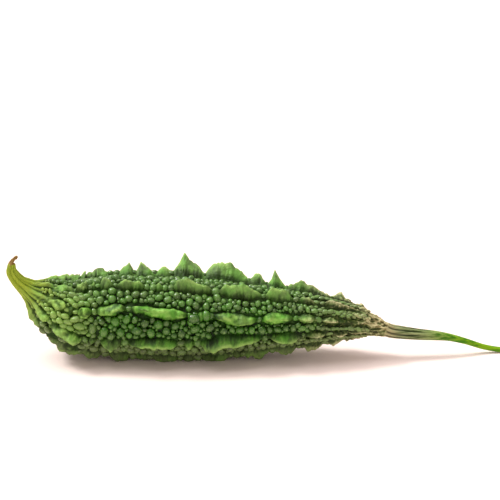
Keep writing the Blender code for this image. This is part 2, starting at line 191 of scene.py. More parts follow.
# start, end, place of the tooth, height of the tooth, in mm along the middle line, and its own
# tooth power where a bar has one
SET_BARS = {
    0: [
        (22, 39, 34, 4.4, 0.7), (40, 46, 43, 5.0, 0.7), (46.4, 60, 53.5, 5.7, 0.5),
        (64.5, 71.8, 69.2, 8.0), (72.6, 81.5, 75, 8.5), (83, 90.5, 86.5, 5.8, 0.8),
        (91.5, 107.8, 97.5, 12.6, 1.25), (108.2, 129.3, 121.5, 8.7, 0.4), (130.5, 138.5, 135, 6.9, 0.8),
        (139.3, 149.2, 143.2, 9.6, 2.6), (149.6, 171, 157, 7.2), (171.5, 182.3, 176, 4.8, 0.6),
        (182.8, 189.5, 186, 3.2),
    ],
    3: [
        (24, 36, 30, 3.4), (37.5, 49, 43, 4.9), (51, 62, 57, 6.4), (64, 79, 72, 5.8),
        (81, 97, 88.5, 7.3), (99, 108, 103, 5.4), (110.5, 124, 116.5, 7.4), (126, 139, 131, 5.2),
        (142, 160, 149, 5.4), (163, 181, 170, 3.2),
    ],
    4: [
        (17.5, 33, 23, 4.6, 1.1), (38.3, 47, 42.5, 5.2, 0.8), (47.5, 56.5, 51.5, 5.6),
        (60, 72, 65.5, 5.4), (74, 81, 77, 4.8), (82, 95.5, 88.5, 7.5), (97, 104, 100.5, 5.2),
        (106.5, 121, 113, 7.4), (122.5, 127, 125, 5.0), (128.5, 141, 134, 6.0),
        (144, 155, 149.5, 6.1), (157, 168.5, 162.5, 4.8), (171, 180, 175, 2.5),
    ],
    5: [
        (19.5, 32.5, 26, 3.8), (34, 48.5, 41.5, 6.0, 0.6), (50, 54.5, 52, 4.4),
        (56, 68, 61, 5.4), (69.8, 95.5, 84, 5.8), (98, 104, 101, 4.6), (106.5, 137, 113.5, 6.8),
        (140.5, 157, 146, 4.9), (159, 170, 163, 3.4), (172, 181, 176, 2.4),
    ],
    6: [
        (27.5, 36, 31, 3.4), (37.5, 42, 40, 4.0), (43, 53, 48, 5.4), (54.2, 69.6, 60, 5.6),
        (71.3, 100.6, 77.8, 7.0), (104.5, 109.5, 107, 4.2), (113, 134.9, 118, 6.2),
        (136.7, 153, 141, 5.8), (154.5, 164, 158, 3.9), (166, 176, 170, 3.0),
    ],
    7: [
        (18.5, 26.5, 23, 2.7), (28, 32.5, 30, 3.8), (33.5, 50, 41, 5.4), (51, 54.5, 53, 4.6),
        (55.5, 63.3, 59.5, 6.9), (64, 78, 68.8, 7.2), (83, 87.5, 85.5, 4.6), (92, 112.5, 99.5, 8.8),
        (115, 137, 127, 7.6), (138, 152.8, 142, 7.2), (155, 163, 160, 3.9), (167, 185.5, 172, 3.4),
    ],
}
print("bars set one by one:", sum(len(bars) for bars in SET_BARS.values()))

# %% The bars that are grown
HIDDEN_BARS_SEED = 5
FIRST_BAR_START, LAST_BAR_END = 24.0, 184.0
# the draws for the bars that are grown: the first one's shift, lengths and gaps in mm, then the
# tooth's place as a share of the bar and its height beside the usual one
FIRST_BAR_SHIFT = (-2.0, 3.0)
BAR_LENGTHS = (9.0, 24.0)
BAR_GAPS = (1.5, 4.0)
TOOTH_PLACE = (0.3, 0.7)
TOOTH_GAIN = (1.05, 1.45)


def grown_bars(rng):
    bars, start = [], FIRST_BAR_START + rng.uniform(*FIRST_BAR_SHIFT)
    while start < LAST_BAR_END - BAR_LENGTHS[0]:
        end = min(start + rng.uniform(*BAR_LENGTHS), LAST_BAR_END)
        tooth = start + rng.uniform(*TOOTH_PLACE) * (end - start)
        height = rng.uniform(*TOOTH_GAIN) * FRUIT.value(RIDGE_HEIGHT, tooth)
        bars.append((start, end, tooth, height))
        start = end + rng.uniform(*BAR_GAPS)
    return bars


def bars_of_all_ridges():
    rng = random.Random(HIDDEN_BARS_SEED)
    return [SET_BARS.get(ridge) or grown_bars(rng) for ridge in range(RIDGE_COUNT)]


BARS = bars_of_all_ridges()
print("bars on each ridge:", [len(bars) for bars in BARS])

# %% Where the ridges run round the fruit
FIRST_RIDGE_DEG = 22.5
RIDGE_STEP_DEG = 360.0 / RIDGE_COUNT
# each ridge wanders a little round the fruit, in a long wave and a short one: degrees, length
RIDGE_SWAYS = ((3.0, 150.0), (1.6, 43.0))
# and each ridge is this many radians further on in both waves than the one before it
SWAY_PHASE = 1.7
# the ridge that faces the viewer strays further from its place: distance along, degrees
FACING_RIDGE, FACING_STRAY = 6, ((20.0, 0.0), (62.0, 5.0), (124.0, -5.0), (148.0, 0.0))


def facing_stray(s):
    """How many degrees the ridge that faces the viewer strays at s."""
    for (start, first), (end, last) in zip(FACING_STRAY, FACING_STRAY[1:]):
        if start < s <= end:
            return first + (last - first) * smoothstep((s - start) / (end - start))
    return 0.0


def ridge_angle(ridge, s):
    """Where the ridge's crest lies round the fruit, in radians. It sways a little."""
    phase = SWAY_PHASE * (ridge % RIDGE_COUNT)
    sway = sum(size * math.sin(2 * math.pi * s / length + phase) for size, length in RIDGE_SWAYS)
    if ridge % RIDGE_COUNT == FACING_RIDGE:
        sway += facing_stray(s)
    return math.radians(FIRST_RIDGE_DEG + RIDGE_STEP_DEG * ridge + sway)


print(f"half way along, ridge 0 lies {math.degrees(ridge_angle(0, 95.0)):.0f} degrees from the top")

# %% How high the ridges stand
# every bar rises over this length at both ends
BAR_RAMP = 3.2
# share of the usual height that is left in the breaks of each ridge
RIB_SHARES = (0.72, 0.35, 0.35, 0.55, 0.66, 0.3, 0.25, 0.35)
# share of it that the bars of each ridge have at their sides, below their teeth
BAR_SHARES = (0.95, 0.82, 0.82, 1.0, 1.0, 0.86, 0.9, 0.84)
# on the beak and the neck nothing breaks the ridges: their share there, and how fast it is reached
END_RIB_SHARE, END_RIB_RISE = 0.9, 1.6
BEAK_RIBS_END, NECK_RIBS_START = 24.0, 178.0
# how pointed a tooth is that has no power of its own
TOOTH_POWER = 1.5


def crest_height(ridge, s):
    """Height of the crest over the flesh: a low rib that rises into each bar and its tooth."""
    usual = FRUIT.value(RIDGE_HEIGHT, s)
    ends = max(1 - s / BEAK_RIBS_END, (s - NECK_RIBS_START) / (FRUIT.length - NECK_RIBS_START))
    share = RIB_SHARES[ridge % RIDGE_COUNT]
    rib = usual * (share + (END_RIB_SHARE - share) * smoothstep(END_RIB_RISE * ends))
    sides = BAR_SHARES[ridge % RIDGE_COUNT]
    for start, end, tooth, height, *own_power in BARS[ridge % RIDGE_COUNT]:
        if start < s < end:
            rise = smoothstep(min(s - start, end - s) / BAR_RAMP)
            reach = tooth - start if s < tooth else end - tooth
            peak = max(0.0, 1 - abs(s - tooth) / reach) ** (own_power or [TOOTH_POWER])[0]
            extra = height - sides * FRUIT.value(RIDGE_HEIGHT, tooth)
            return rib + rise * (sides * usual - rib) + peak * extra
    return rib


print(f"the tallest tooth of ridge 0 stands {crest_height(0, 97.5):.1f} mm over the flesh")


# %% How wide the ridges and the valleys are
def angle_of(valley, s, y):
    """The angle round the fruit of a point y mm beside a valley's middle."""
    middle = 0.5 * (ridge_angle(valley, s) + ridge_angle(valley + 1, s))
    return middle + y / FRUIT.value(FLESH_RADIUS, s)


def half_panel(ridge, s):
    """Half the width of the valley from this ridge's crest to the next one's."""
    turn = ridge_angle(ridge + 1, s) - ridge_angle(ridge, s)
    return 0.5 * turn * FRUIT.value(FLESH_RADIUS, s)


# half the width of a ridge's foot along a bar, its share in a break, and the most it may take of
# half a valley
BASE_HALF_WIDTH = 2.75
GAP_WIDTH_SHARE = 0.72
PANEL_WIDTH_SHARE = 0.62


def base_half_width(ridge, s):
    """Half the width of the ridge at its foot: narrow between bars, wide along them."""
    fullness = min(1.0, crest_height(ridge, s) / FRUIT.value(RIDGE_HEIGHT, s))
    share = GAP_WIDTH_SHARE + (1 - GAP_WIDTH_SHARE) * smoothstep(fullness)
    return min(BASE_HALF_WIDTH * share, PANEL_WIDTH_SHARE * half_panel(ridge, s))


print(f"half way along, the valley beside it is {2 * half_panel(0, 95.0):.1f} mm wide on the flesh")

# %% [markdown]
# ## Helpers for nodes and colours
#
# Every finish is a small tree of nodes, and so is the tree that strews the warts. One function
# adds a node, sets it and links it, which keeps each tree readable from top to bottom. Colours
# are written as the hex values a paint program shows, and one function turns them to the linear
# light that Blender reckons in. A skin's colour is then built as a painter would build it: a first
# colour, and over it thin layers that each show only where some measure of the surface says so.

# %% One function for nodes, one for colours, one for layers of colour
def linear(hex_colour):
    """An sRGB colour such as '#3f7a2a' as linear red, green, blue and alpha."""
    channels = [int(hex_colour[i : i + 2], 16) / 255 for i in (1, 3, 5)]
    return (*[c / 12.92 if c <= 0.04045 else ((c + 0.055) / 1.055) ** 2.4 for c in channels], 1.0)


def add_node(tree, kind, inputs=(), **settings):
    """Adds a node. inputs maps a socket to its value, or to the output that feeds it."""
    made = tree.nodes.new(kind)
    for key, value in settings.items():
        setattr(made, key, value)
    for key, value in dict(inputs).items():
        if isinstance(value, bpy.types.NodeSocket):
            tree.links.new(value, made.inputs[key])
        else:
            made.inputs[key].default_value = value
    return made


def painted(tree, colour, layers):
    """Lays colours over a first one. A layer is a colour, how it is laid, its strongest share and
    its measures, each with the two values between which the layer comes in: smoothly, unless the
    measure says LINEAR."""
    for layer_colour, blend, share, *measures in layers:
        for value, start, end, *way in measures:
            share = add_node(tree, "ShaderNodeMapRange", {
                "Value": value, "From Min": start, "From Max": end, "To Max": share},
                interpolation_type=(way or ["SMOOTHSTEP"])[0]).outputs[0]
        under, over = [linear(c) if isinstance(c, str) else c for c in (colour, layer_colour)]
        colour = add_node(tree, "ShaderNodeMix", {
            0: share, 6: under, 7: over}, data_type="RGBA", blend_type=blend).outputs[2]
    return colour


def new_finish(name, roughness, **constants):
    """A material with its Principled shader, and those of its sockets that are even all over."""
    material = bpy.data.materials.new(name)
    material.use_nodes = True
    shader = material.node_tree.nodes["Principled BSDF"]
    shader.inputs["Roughness"].default_value = roughness
    for socket, value in constants.items():
        shader.inputs[socket.replace("_", " ")].default_value = value
    return material, material.node_tree, shader


def dress(tree, shader, colour, relief, strength, depth_mm):
    """Gives a finish its colour, and a relief that is too fine for the mesh."""
    tree.links.new(colour, shader.inputs["Base Color"])
    bump = add_node(tree, "ShaderNodeBump", {
        "Strength": strength, "Distance": depth_mm * MM, "Height": relief}).outputs[0]
    tree.links.new(bump, shader.inputs["Normal"])


print("a fresh green in linear light:", [round(c, 3) for c in linear("#569428")])

# %% [markdown]
# ## The finish of the skin
#
# The skin is living plant tissue under a thin natural wax, so it has a soft, broad shine. Its deep
# green wanders between a vivid one and a dark bluish one. It is paler on the crests, yellow-green on
# the beak and corky tan where the ridges run together at the neck, and painted shade makes it nearly
# black-green in the creases. Painted light also pales the underside, as the floor's bounce would,
# the upper side, as light from above would, and the part by the beak, as light from the left would.
# The mesh carries how far along, how high and how near a crest each point is, and the colours follow
# those numbers, so they stay put from any side. Leaf wax has an index of refraction near 1.43.

# %% Colours that follow the place on the fruit
# sizes of the patterns: mottling, grain of the wax, fibres, veins and broad patches. Grain, fibres
# and veins are finer on the real skin; they are drawn as coarse as they need to show
MOTTLE_MM, GRAIN_MM, FIBRE_MM, VEIN_MM, PATCH_MM = 5.0, 0.7, 1.3, 1.1, 9.0
# how many mm the mottling shifts the limits of the colours, and how many mm sooner the painted
# light by the beak ends on the underside
WANDER_MM, UNDER_SHIFT_MM = 16.0, 24.0
WAX_IOR = 1.43


def colour_along(tree, green, along, upper, mottle, painted_top_light_share, dull_share):
    """Turns a green to the beak's yellow-green at one end, and to the dry neck at the other."""
    place = add_node(tree, "ShaderNodeMath", {
        0: mottle, 1: WANDER_MM, 2: along}, operation="MULTIPLY_ADD").outputs[0]
    under = add_node(tree, "ShaderNodeMapRange", {
        "Value": upper, "From Min": -0.2, "From Max": -0.6, "To Max": UNDER_SHIFT_MM},
        interpolation_type="SMOOTHSTEP").outputs[0]
    shifted = add_node(tree, "ShaderNodeMath", {0: place, 1: under}, operation="ADD").outputs[0]
    return painted(tree, green, [
        # painted light: the floor's bounce on the shaded underside, light from above paling the upper
        # side, and light from the left paling the part by the beak
        ("#717f4e", "MIX", 0.55, (upper, -0.1, -0.75)),
        ("#92ac6e", "MIX", painted_top_light_share, (upper, 0.3, 0.95)),
        ("#9dc25f", "MIX", 0.6, (shifted, 70.0, 40.0), (upper, 1.05, 0.45)),
        # the drying end, the dry neck, its corky upper side, the beak
        ("#8a9660", "MIX", dull_share, (place, 152.0, 190.0)),
        ("#868c54", "MIX", 0.8, (place, 186.0, 208.0)),
        ("#d0c697", "MIX", 1.0, (upper, -0.1, 0.75), (place, 191.0, 203.0)),
        ("#94a92e", "MIX", 1.0, (place, 38.0, 19.0)),
    ])


print(f"the patterns of the skin are {GRAIN_MM} to {PATCH_MM} mm wide")


# %% Skin colours from place and height
def skin_finish():
    material, tree, shader = new_finish("waxy_gourd_skin", 0.5, IOR=WAX_IOR, Specular_IOR_Level=0.3)
    where = add_node(tree, "ShaderNodeTexCoord").outputs["Object"]
    along, rise, crest, upper = [
        add_node(tree, "ShaderNodeAttribute", attribute_name=name).outputs["Fac"]
        for name in ("along", "rise", "crest", "upper")]
    # fibres run lengthways, and bent veins run round the fruit
    lengthways = add_node(tree, "ShaderNodeMapping", {"Vector": where, "Scale": (0.25, 1.0, 1.0)})
    bends = add_node(tree, "ShaderNodeTexNoise", {
        "Vector": where, "Scale": 1 / (3 * VEIN_MM * MM), "Detail": 1.0}).outputs["Color"]
    bent = add_node(tree, "ShaderNodeVectorMath", {
        0: bends, 1: (2 * VEIN_MM * MM,) * 3, 2: where}, operation="MULTIPLY_ADD").outputs[0]
    upright = add_node(tree, "ShaderNodeMapping", {"Vector": bent, "Scale": (1.0, 0.25, 0.25)})
    mottle, grain, patches, fibres, veins = [
        add_node(tree, "ShaderNodeTexNoise", {
            "Vector": line, "Scale": 1 / (size * MM), "Detail": detail}).outputs["Fac"]
        for line, size, detail in (
            (where, MOTTLE_MM, 3.0), (where, GRAIN_MM, 2.0), (where, PATCH_MM, 1.0),
            (lengthways.outputs[0], FIBRE_MM, 2.0), (upright.outputs[0], VEIN_MM, 2.0))]
    mottled, veined = [
        add_node(tree, "ShaderNodeMapRange", {
            "Value": value, "From Min": 0.38, "From Max": end, "To Max": most},
            interpolation_type="SMOOTHSTEP").outputs[0]
        for value, end, most in ((mottle, 0.62, 0.55), (veins, 0.6, 0.45))]
    speckle = add_node(tree, "ShaderNodeMath", {0: mottled, 1: veined}, operation="ADD").outputs[0]
    fresh = painted(tree, "#28500f", [
        ("#569428", "MIX", speckle),
        ("#5cb028", "MIX", 0.5, (patches, 0.5, 0.38)),
        ("#1c4026", "MIX", 0.65, (patches, 0.54, 0.66)),
        ("#a4d06a", "MIX", 0.9, (crest, 0.0, 1.0, "LINEAR"), (mottle, 0.3, 0.6)),
    ])
    placed = colour_along(tree, fresh, along, upper, mottle, 0.3, 0.6)
    colour = painted(tree, placed, [
        # bleached crests and dark fibres where the skin dries, and painted shade in the creases all
        # over
        ("#ebe5b6", "MIX", 0.9, (crest, 0.0, 1.0, "LINEAR"), (along, 150.0, 184.0)),
        ("#87805a", "MULTIPLY", 0.85, (fibres, 0.55, 0.42), (along, 140.0, 194.0)),
        ("#70824f", "MULTIPLY", 1.0, (rise, 4.0, 0.0)),
    ])
    threads = add_node(tree, "ShaderNodeMath", {0: fibres, 1: veins}, operation="ADD").outputs[0]
    relief = add_node(tree, "ShaderNodeMath", {0: threads, 1: grain}, operation="ADD").outputs[0]
    dress(tree, shader, colour, relief, 0.8, 0.5)
    return material


skin = skin_finish()
print("finish:", skin.name)

# %% [markdown]
# ## The finish of the warts
#
# A wart is the same waxy tissue swollen into a bead. It is stretched tight, so it shines more
# sharply than the skin. Fine pale specks dust it, and no two beads have quite the same green; over
# that, painted shade darkens its foot and painted light makes its top a little lighter. The beads
# carry a number for their tint and one for the height on the bead, which the painted light and
# shade follow.

# %% Wart colours from the bead's own height and tint
def wart_finish():
    material, tree, shader = new_finish("waxy_wart_skin", 0.27, IOR=WAX_IOR, Specular_IOR_Level=0.6)
    where = add_node(tree, "ShaderNodeTexCoord").outputs["Object"]
    along, lift, tint, upper = [
        add_node(tree, "ShaderNodeAttribute", attribute_name=name).outputs["Fac"]
        for name in ("along", "lift", "tint", "upper")]
    mottle, grain = [
        add_node(tree, "ShaderNodeTexNoise", {
            "Vector": where, "Scale": 1 / (size * MM), "Detail": 2.0}).outputs["Fac"]
        for size in (MOTTLE_MM, GRAIN_MM)]
    bead = painted(tree, "#193e08", [
        # painted shade darkens each bead's foot, and painted light pales its top
        ("#357013", "MIX", tint),
        ("#1a3410", "MIX", 1.0, (lift, 0.4, -0.5)),
        ("#94bf64", "MIX", 0.15, (lift, 0.6, 1.0)),
    ])
    placed = colour_along(tree, bead, along, upper, mottle, 0.15, 0.35)
    colour = painted(tree, placed, [("#9ccb64", "MIX", 0.3, (grain, 0.52, 0.68))])
    dress(tree, shader, colour, grain, 0.6, 0.2)
    return material


warts_finish = wart_finish()
print("finish:", warts_finish.name)

# %% [markdown]
# ## The skin with its ridges
#
# The skin could be sculpted, or cut from a dense block, but its shape follows a rule: a round
# body, and on it fins whose cross-section is a rounded lobe along a bar and a thin blade at a
# tooth. So it is one closed grid, row by row along the line. The columns crowd together on the
# fins' steep flanks, where the shape turns fast, and thin out in the valleys, which warts hide.
# Seeded draws keep the fins from looking drawn with a ruler: their crests and feet wave, pleats
# fan out down their flanks, and round bars sink to a shallow trough between two rims.

# %% The cross-section of a fin
# powers that make a lobe full at its crest and steep at its foot, and a blade's flank hollow
LOBE_FULL, LOBE_STEEP, BLADE_HOLLOW = 2.2, 0.62, 1.15


def fin_shape(u, sharpness):
    """Height of a fin at u, from 0 at its crest to 1 at its foot: a lobe, or a blade if sharp."""
    u = np.clip(u, 0.0, 1.0)
    lobe = (1 - u ** LOBE_FULL) ** LOBE_STEEP
    blade = (1 - u) ** BLADE_HOLLOW
    return lobe * (1 - sharpness) + blade * sharpness


# how much of a blade each ridge's bars are: 0 is a round lobe and 1 a thin blade
RIDGE_EDGES = (0.3, 0.35, 0.35, 0.15, 0.25, 0.5, 0.05, 0.42)
# a tooth that stands this share above the usual height is this much of a blade
TOOTH_EXCESS, TOOTH_EDGE = 0.5, 0.85
# and each mm above the usual height widens half its foot by this many mm
TOOTH_WIDENING = 0.32


def sharpness_at(ridge, height, usual):
    """How much of a blade the fin is. It is sharpest at a tall tooth."""
    edge = RIDGE_EDGES[ridge % RIDGE_COUNT]
    return edge + (TOOTH_EDGE - edge) * smoothstep((height / usual - 1.0) / TOOTH_EXCESS)


def fin_half_width(ridge, s, height, usual):
    return base_half_width(ridge, s) + TOOTH_WIDENING * max(0.0, height - usual)


print(f"half way down, a lobe keeps {fin_shape(0.5, 0.0):.0%} and a blade {fin_shape(0.5, 1.0):.0%}")

# %% Smooth draws, so that no two fins are alike
# each kind of draw has its own seeds, to which the number of the fin is added
CREST_SEED, FOOT_SEED, LEAN_SEED, TROUGH_SEED = 100, 150, 300, 270
PLEAT_SEED, PLEAT_DEPTH_SEED, PLEAT_SLANT_SEED = 200, 230, 240


def smooth_draw(seed, spacing):
    """A smooth random line along the fruit, from -1 to 1, with a new value every spacing mm."""
    rng = np.random.default_rng(seed)
    knots = np.arange(-spacing, FRUIT.length + 2 * spacing, spacing)
    values = rng.uniform(-1, 1, len(knots))

    def at(s):
        t = (s - knots[0]) / spacing
        i = np.clip(t.astype(int), 0, len(knots) - 2)
        f = t - i
        f = f * f * (3 - 2 * f)
        return values[i] * (1 - f) + values[i + 1] * f

    return at


def share_from(draw):
    """A draw from -1 to 1 as a share from 0.2 to 1."""
    return 0.6 + 0.4 * draw


print("a draw with a value every 5 mm:", np.round(smooth_draw(1, 5.0)(np.arange(0.0, 20.0, 2.5)), 2))

# %% The grid of the skin
SKIN_ROWS = 500
# where the columns lie beside a crest, as shares of the fin's foot width
FLANK_COLUMNS = (0.14, 0.3, 0.46, 0.62, 0.76, 0.88, 1.0, 1.14, 1.4)
VALLEY_COLUMNS = 4
# pleats that fan out down the flanks of the fins: how wide they are, how much of the fin's width
# they take away, and how far they lean for each mm down the flank
PLEAT_MM, PLEAT_SHARE, PLEAT_SLANT = 1.35, 0.36, 0.9
# pleats' share of their depth on a round bar, and what a blade adds to it
ROUND_PLEATS, SHARP_PLEATS = 0.25, 1.2
# the crest waves up and down, in broad waves and in small ones: spacing in mm, share
CREST_WAVES = ((6.0, 0.13), (2.2, 0.1))
# the waves rather raise the crest than lower it
CREST_WAVE_MIDDLE = 0.3
# and the foot of each flank in and out: spacing in mm, share
FOOT_WAVES = ((4.5, 0.2), (1.9, 0.12))
# round bars have a shallow trough between two rims: its depth as a share, its length, and where
# the rims run, as shares of the way from crest to foot
TROUGH_SHARE, TROUGH_LENGTH_MM = 0.2, 7.0
TROUGH_HALF, RIM_PLACE, RIM_WIDTH = 0.5, 0.52, 0.16
# how pale a round bar is beside its rims, and how wide the pale line on a blade and a lobe is
RIM_GROUND, BLADE_LINE, LOBE_LINE = 0.3, 0.18, 0.32
# a fin gets pale from this share of the usual height on, and is so at its full usual height
PALE_FROM = 0.35
# how much painted shade pleats, tall flanks and troughs get
PLEAT_SHADE, FLANK_SHADE, TROUGH_SHADE = 2.6, 4.0, 2.4
# fins of this height and more have full pleats, troughs and lean
TALL_MM = 5.0
# the bars narrow towards their ends, over this share of their length
BAR_TAPER_SHARE, BAR_END_WIDTH = 0.4, 0.62
# the crests lean to one side and the other
LEAN_MM, LEAN_LENGTH_MM = 1.1, 9.0
# between these places the skin turns from fresh to dry and wrinkled
WRINKLE_START, WRINKLE_FULL = 134.0, 178.0
# dry fins wave more, are narrower and are sharper, by these shares
DRY_WAVES, DRY_NARROWING, DRY_EDGE = 0.5, 0.3, 0.4


def dryness(s):
    """0 where the skin is fresh, 1 where it has dried out towards the neck."""
    return smoothstep((s - WRINKLE_START) / (WRINKLE_FULL - WRINKLE_START))


def taper(ridge, s):
    """How wide a bar is beside its full width, which it has lost at its ends."""
    for start, end, *_ in BARS[ridge % RIDGE_COUNT]:
        if start < s < end:
            inside = min(s - start, end - s) / (BAR_TAPER_SHARE * (end - start))
            return BAR_END_WIDTH + (1 - BAR_END_WIDTH) * smoothstep(inside)
    return BAR_END_WIDTH + (1 - BAR_END_WIDTH) * (0 if BEAK_RIBS_END < s < NECK_RIBS_START else 1)


def columns_of_panel(width_here, width_next, half):
    """The y of every column from one crest up to, but not with, the next crest."""
    left = [-half + share * width_here for share in (0.0, *FLANK_COLUMNS)]
    right = [half - share * width_next for share in FLANK_COLUMNS[::-1]]
    steps = np.linspace(left[-1], right[0], VALLEY_COLUMNS + 2)[1:-1]
    return np.array([*left, *steps, *right])


print("columns of the skin:", RIDGE_COUNT * (1 + 2 * len(FLANK_COLUMNS) + VALLEY_COLUMNS))


# %% How high, wide and sharp the fins are
def fins_along(rows, usual, dry):
    """For every ridge its crest height, its half width and its sharpness at each row."""
    fins = []
    for ridge in range(RIDGE_COUNT):
        crest = np.array([crest_height(ridge, s) for s in rows])
        for number, (spacing, share) in enumerate(CREST_WAVES):
            draw = CREST_WAVE_MIDDLE + smooth_draw(CREST_SEED + 10 * number + ridge, spacing)(rows)
            crest = crest * (1 + (1 + DRY_WAVES * dry) * share * draw)
        width = (1 - DRY_NARROWING * dry) * np.array([
            taper(ridge, s) * fin_half_width(ridge, s, h, n) for s, h, n in zip(rows, crest, usual)])
        sharp = np.array([sharpness_at(ridge, h, n) for h, n in zip(crest, usual)])
        fins.append((crest, width, sharp + DRY_EDGE * dry * (1 - sharp)))
    return fins


print(f"the skin is fresh up to {WRINKLE_START:.0f} mm and dry from {WRINKLE_FULL:.0f} mm on")


# %% One flank of a fin
def pleats(rows, away, sharp, seed):
    """How deep in a pleat each point is. The pleats slant, and the more so the further down."""
    slant = PLEAT_SLANT * smooth_draw(PLEAT_SLANT_SEED + seed, 7 * PLEAT_MM)(rows)[:, None]
    place = rows[:, None] + slant * away
    fold = np.abs(smooth_draw(PLEAT_SEED + seed, PLEAT_MM)(place))
    broad = share_from(smooth_draw(PLEAT_DEPTH_SEED + seed, 4 * PLEAT_MM)(place))
    depth = np.minimum(1, ROUND_PLEATS + SHARP_PLEATS * sharp)
    return depth * broad * (1 - np.minimum(1, 2.0 * fold)) ** 2


def flank(fin, side, away, rows, usual, crest, width, sharp):
    """A fin's flank, away mm from its crest line: its height, how near each point is to a crest,
    how much painted shade it gets, and how far the crest leans."""
    usual, crest, width, sharp = [values[:, None] for values in (usual, crest, width, sharp)]
    seed = 2 * fin + side
    tall = np.clip(crest / TALL_MM, 0, 1)
    pleat = tall * pleats(rows, away, sharp, seed)
    wave = 1 + sum(share * smooth_draw(FOOT_SEED + 40 * number + seed, spacing)(rows)[:, None]
                   for number, (spacing, share) in enumerate(FOOT_WAVES))
    u = away / (wave * width * (1 - PLEAT_SHARE * pleat))
    shape = fin_shape(u, sharp)
    inside = np.clip(4 * shape, 0, 1)
    rounded = tall * np.clip(1 - 4 * sharp, 0, 1)
    patchy = share_from(smooth_draw(TROUGH_SEED + fin, TROUGH_LENGTH_MM)(rows)[:, None])
    trough = rounded * patchy * np.clip(1 - (u / TROUGH_HALF) ** 2, 0, 1)
    height = crest * shape * (1 - 0.1 * pleat - TROUGH_SHARE * trough)
    over = np.clip(crest / np.maximum(usual, 1.0) - 0.9, 0, 1)
    shade = (PLEAT_SHADE * pleat + FLANK_SHADE * over * (1 - shape)) * np.clip(5 * (1 - shape), 0, 1)
    line = np.clip(1.25 - u / (BLADE_LINE + (LOBE_LINE - BLADE_LINE) * (1 - sharp)), 0, 1)
    rim = np.exp(-((u - RIM_PLACE) / RIM_WIDTH) ** 2)
    rims = (RIM_GROUND + (1 - RIM_GROUND) * rim) * rounded * inside
    full = np.clip((crest / np.maximum(usual, 0.2) - PALE_FROM) / (1 - PALE_FROM), 0, 1)
    sway = smooth_draw(LEAN_SEED + fin, LEAN_LENGTH_MM)(rows)[:, None]
    lean = LEAN_MM * sway * tall * np.clip(shape, 0, 1) ** 2
    return height, (line * (1 - rounded) + rims) * full, shade * inside + TROUGH_SHADE * trough, lean


print(f"pleats are {PLEAT_MM} mm wide and rims lie {RIM_PLACE:.0%} of the way down a round bar")


# %% All flanks and valleys side by side
def skin_rows():
    """The rows and the flesh there, and for every point of the grid: the angle round the fruit,
    the height over the flesh, how near it is to a crest and how much painted shade it gets."""
    rows = np.linspace(0.0, FRUIT.length, SKIN_ROWS)
    usual = np.array([FRUIT.value(RIDGE_HEIGHT, s) for s in rows])
    flesh = np.array([FRUIT.value(FLESH_RADIUS, s) for s in rows])
    fins = fins_along(rows, usual, np.array([dryness(s) for s in rows]))
    panels = []
    for ridge in range(RIDGE_COUNT):
        after = (ridge + 1) % RIDGE_COUNT
        half = np.array([half_panel(ridge, s) for s in rows])
        middle = np.array([angle_of(ridge, s, 0.0) for s in rows])
        y = np.array([
            columns_of_panel(base_half_width(ridge, s), base_half_width(ridge + 1, s), h)
            for s, h in zip(rows, half)])
        near = flank(ridge, 0, half[:, None] + y, rows, usual, *fins[ridge])
        far = flank(after, 1, half[:, None] - y, rows, usual, *fins[after])
        heights, crests, shades, leans = zip(near, far)
        angles = middle[:, None] + (y + sum(leans)) / flesh[:, None]
        panels.append((angles, sum(heights), np.maximum(*crests), sum(shades)))
    return (rows, flesh, *[np.hstack(part) for part in zip(*panels)])


print("rows of the skin:", SKIN_ROWS)

# %% The finer relief of both ends
# near the beak the skin is lumpier than elsewhere: from, to, size and height of the lumps
LUMPY_SPAN, LUMP_MM, LUMP_HEIGHT_MM = (20.0, 58.0), 4.6, 1.2
# and how far the lumps need to come in and to fade out
LUMPY_RISE, LUMPY_FADE = 8.0, 12.0
# the beak carries twice as many fine ribs as there are ridges
BEAK_RIB_DEPTH_MM, BEAK_RIB_COUNT = 0.42, 2 * RIDGE_COUNT
# the fine ribs are full up to here, and fade out over this length
BEAK_RIBS_FULL, BEAK_RIBS_FADE = 16.0, 16.0
# relief is at its full depth where the flesh is this thick; the least shares of ribs and of folds
THICK_MM, LEAST_RIBS, LEAST_FOLDS = 7.0, 0.25, 0.4
# towards the neck the skin has dried into wrinkles that run lengthways
WRINKLE_MM, WRINKLE_LENGTH_MM, WRINKLE_DEPTH_MM = 1.5, 6.0, 1.15
# a net of fine raised lines: its size, its depth, its share on smooth skin, how wide its lines are
NET_MM, NET_LENGTH_MM, NET_DEPTH_MM, NET_SHARE, NET_LINE = 2.2, 3.2, 0.7, 0.3, 0.2
# what sets how high the raised lines stand, and how blunt they are
WRINKLE_TOP, NET_TOP, LINE_BLUNT = 0.45, 0.4, 0.02
# where each seed reads the noise, and what brings the noise to about -1 to 1
SEED_STEPS, NOISE_GAIN = (17.3, 5.1, 9.7), 1.6


def uneven(points, size_mm, seed):
    """Smooth noise from about -1 to 1 at each point, with lumps of that size in each direction."""
    shift = Vector([seed * step for step in SEED_STEPS])
    squeezed = points / np.array(size_mm)
    return np.array([noise.noise(Vector(p) + shift) for p in squeezed]) * NOISE_GAIN


def raised_lines(folds, top):
    """Narrow raised lines where the noise passes through 0, and shallow hollows between them."""
    return top - np.sqrt(np.abs(folds) + LINE_BLUNT)


def lumpiness(s):
    """1 where the skin behind the beak is lumpy, and 0 elsewhere."""
    start, end = LUMPY_SPAN
    return smoothstep((s - start) / LUMPY_RISE) * smoothstep((end - s) / LUMPY_FADE)


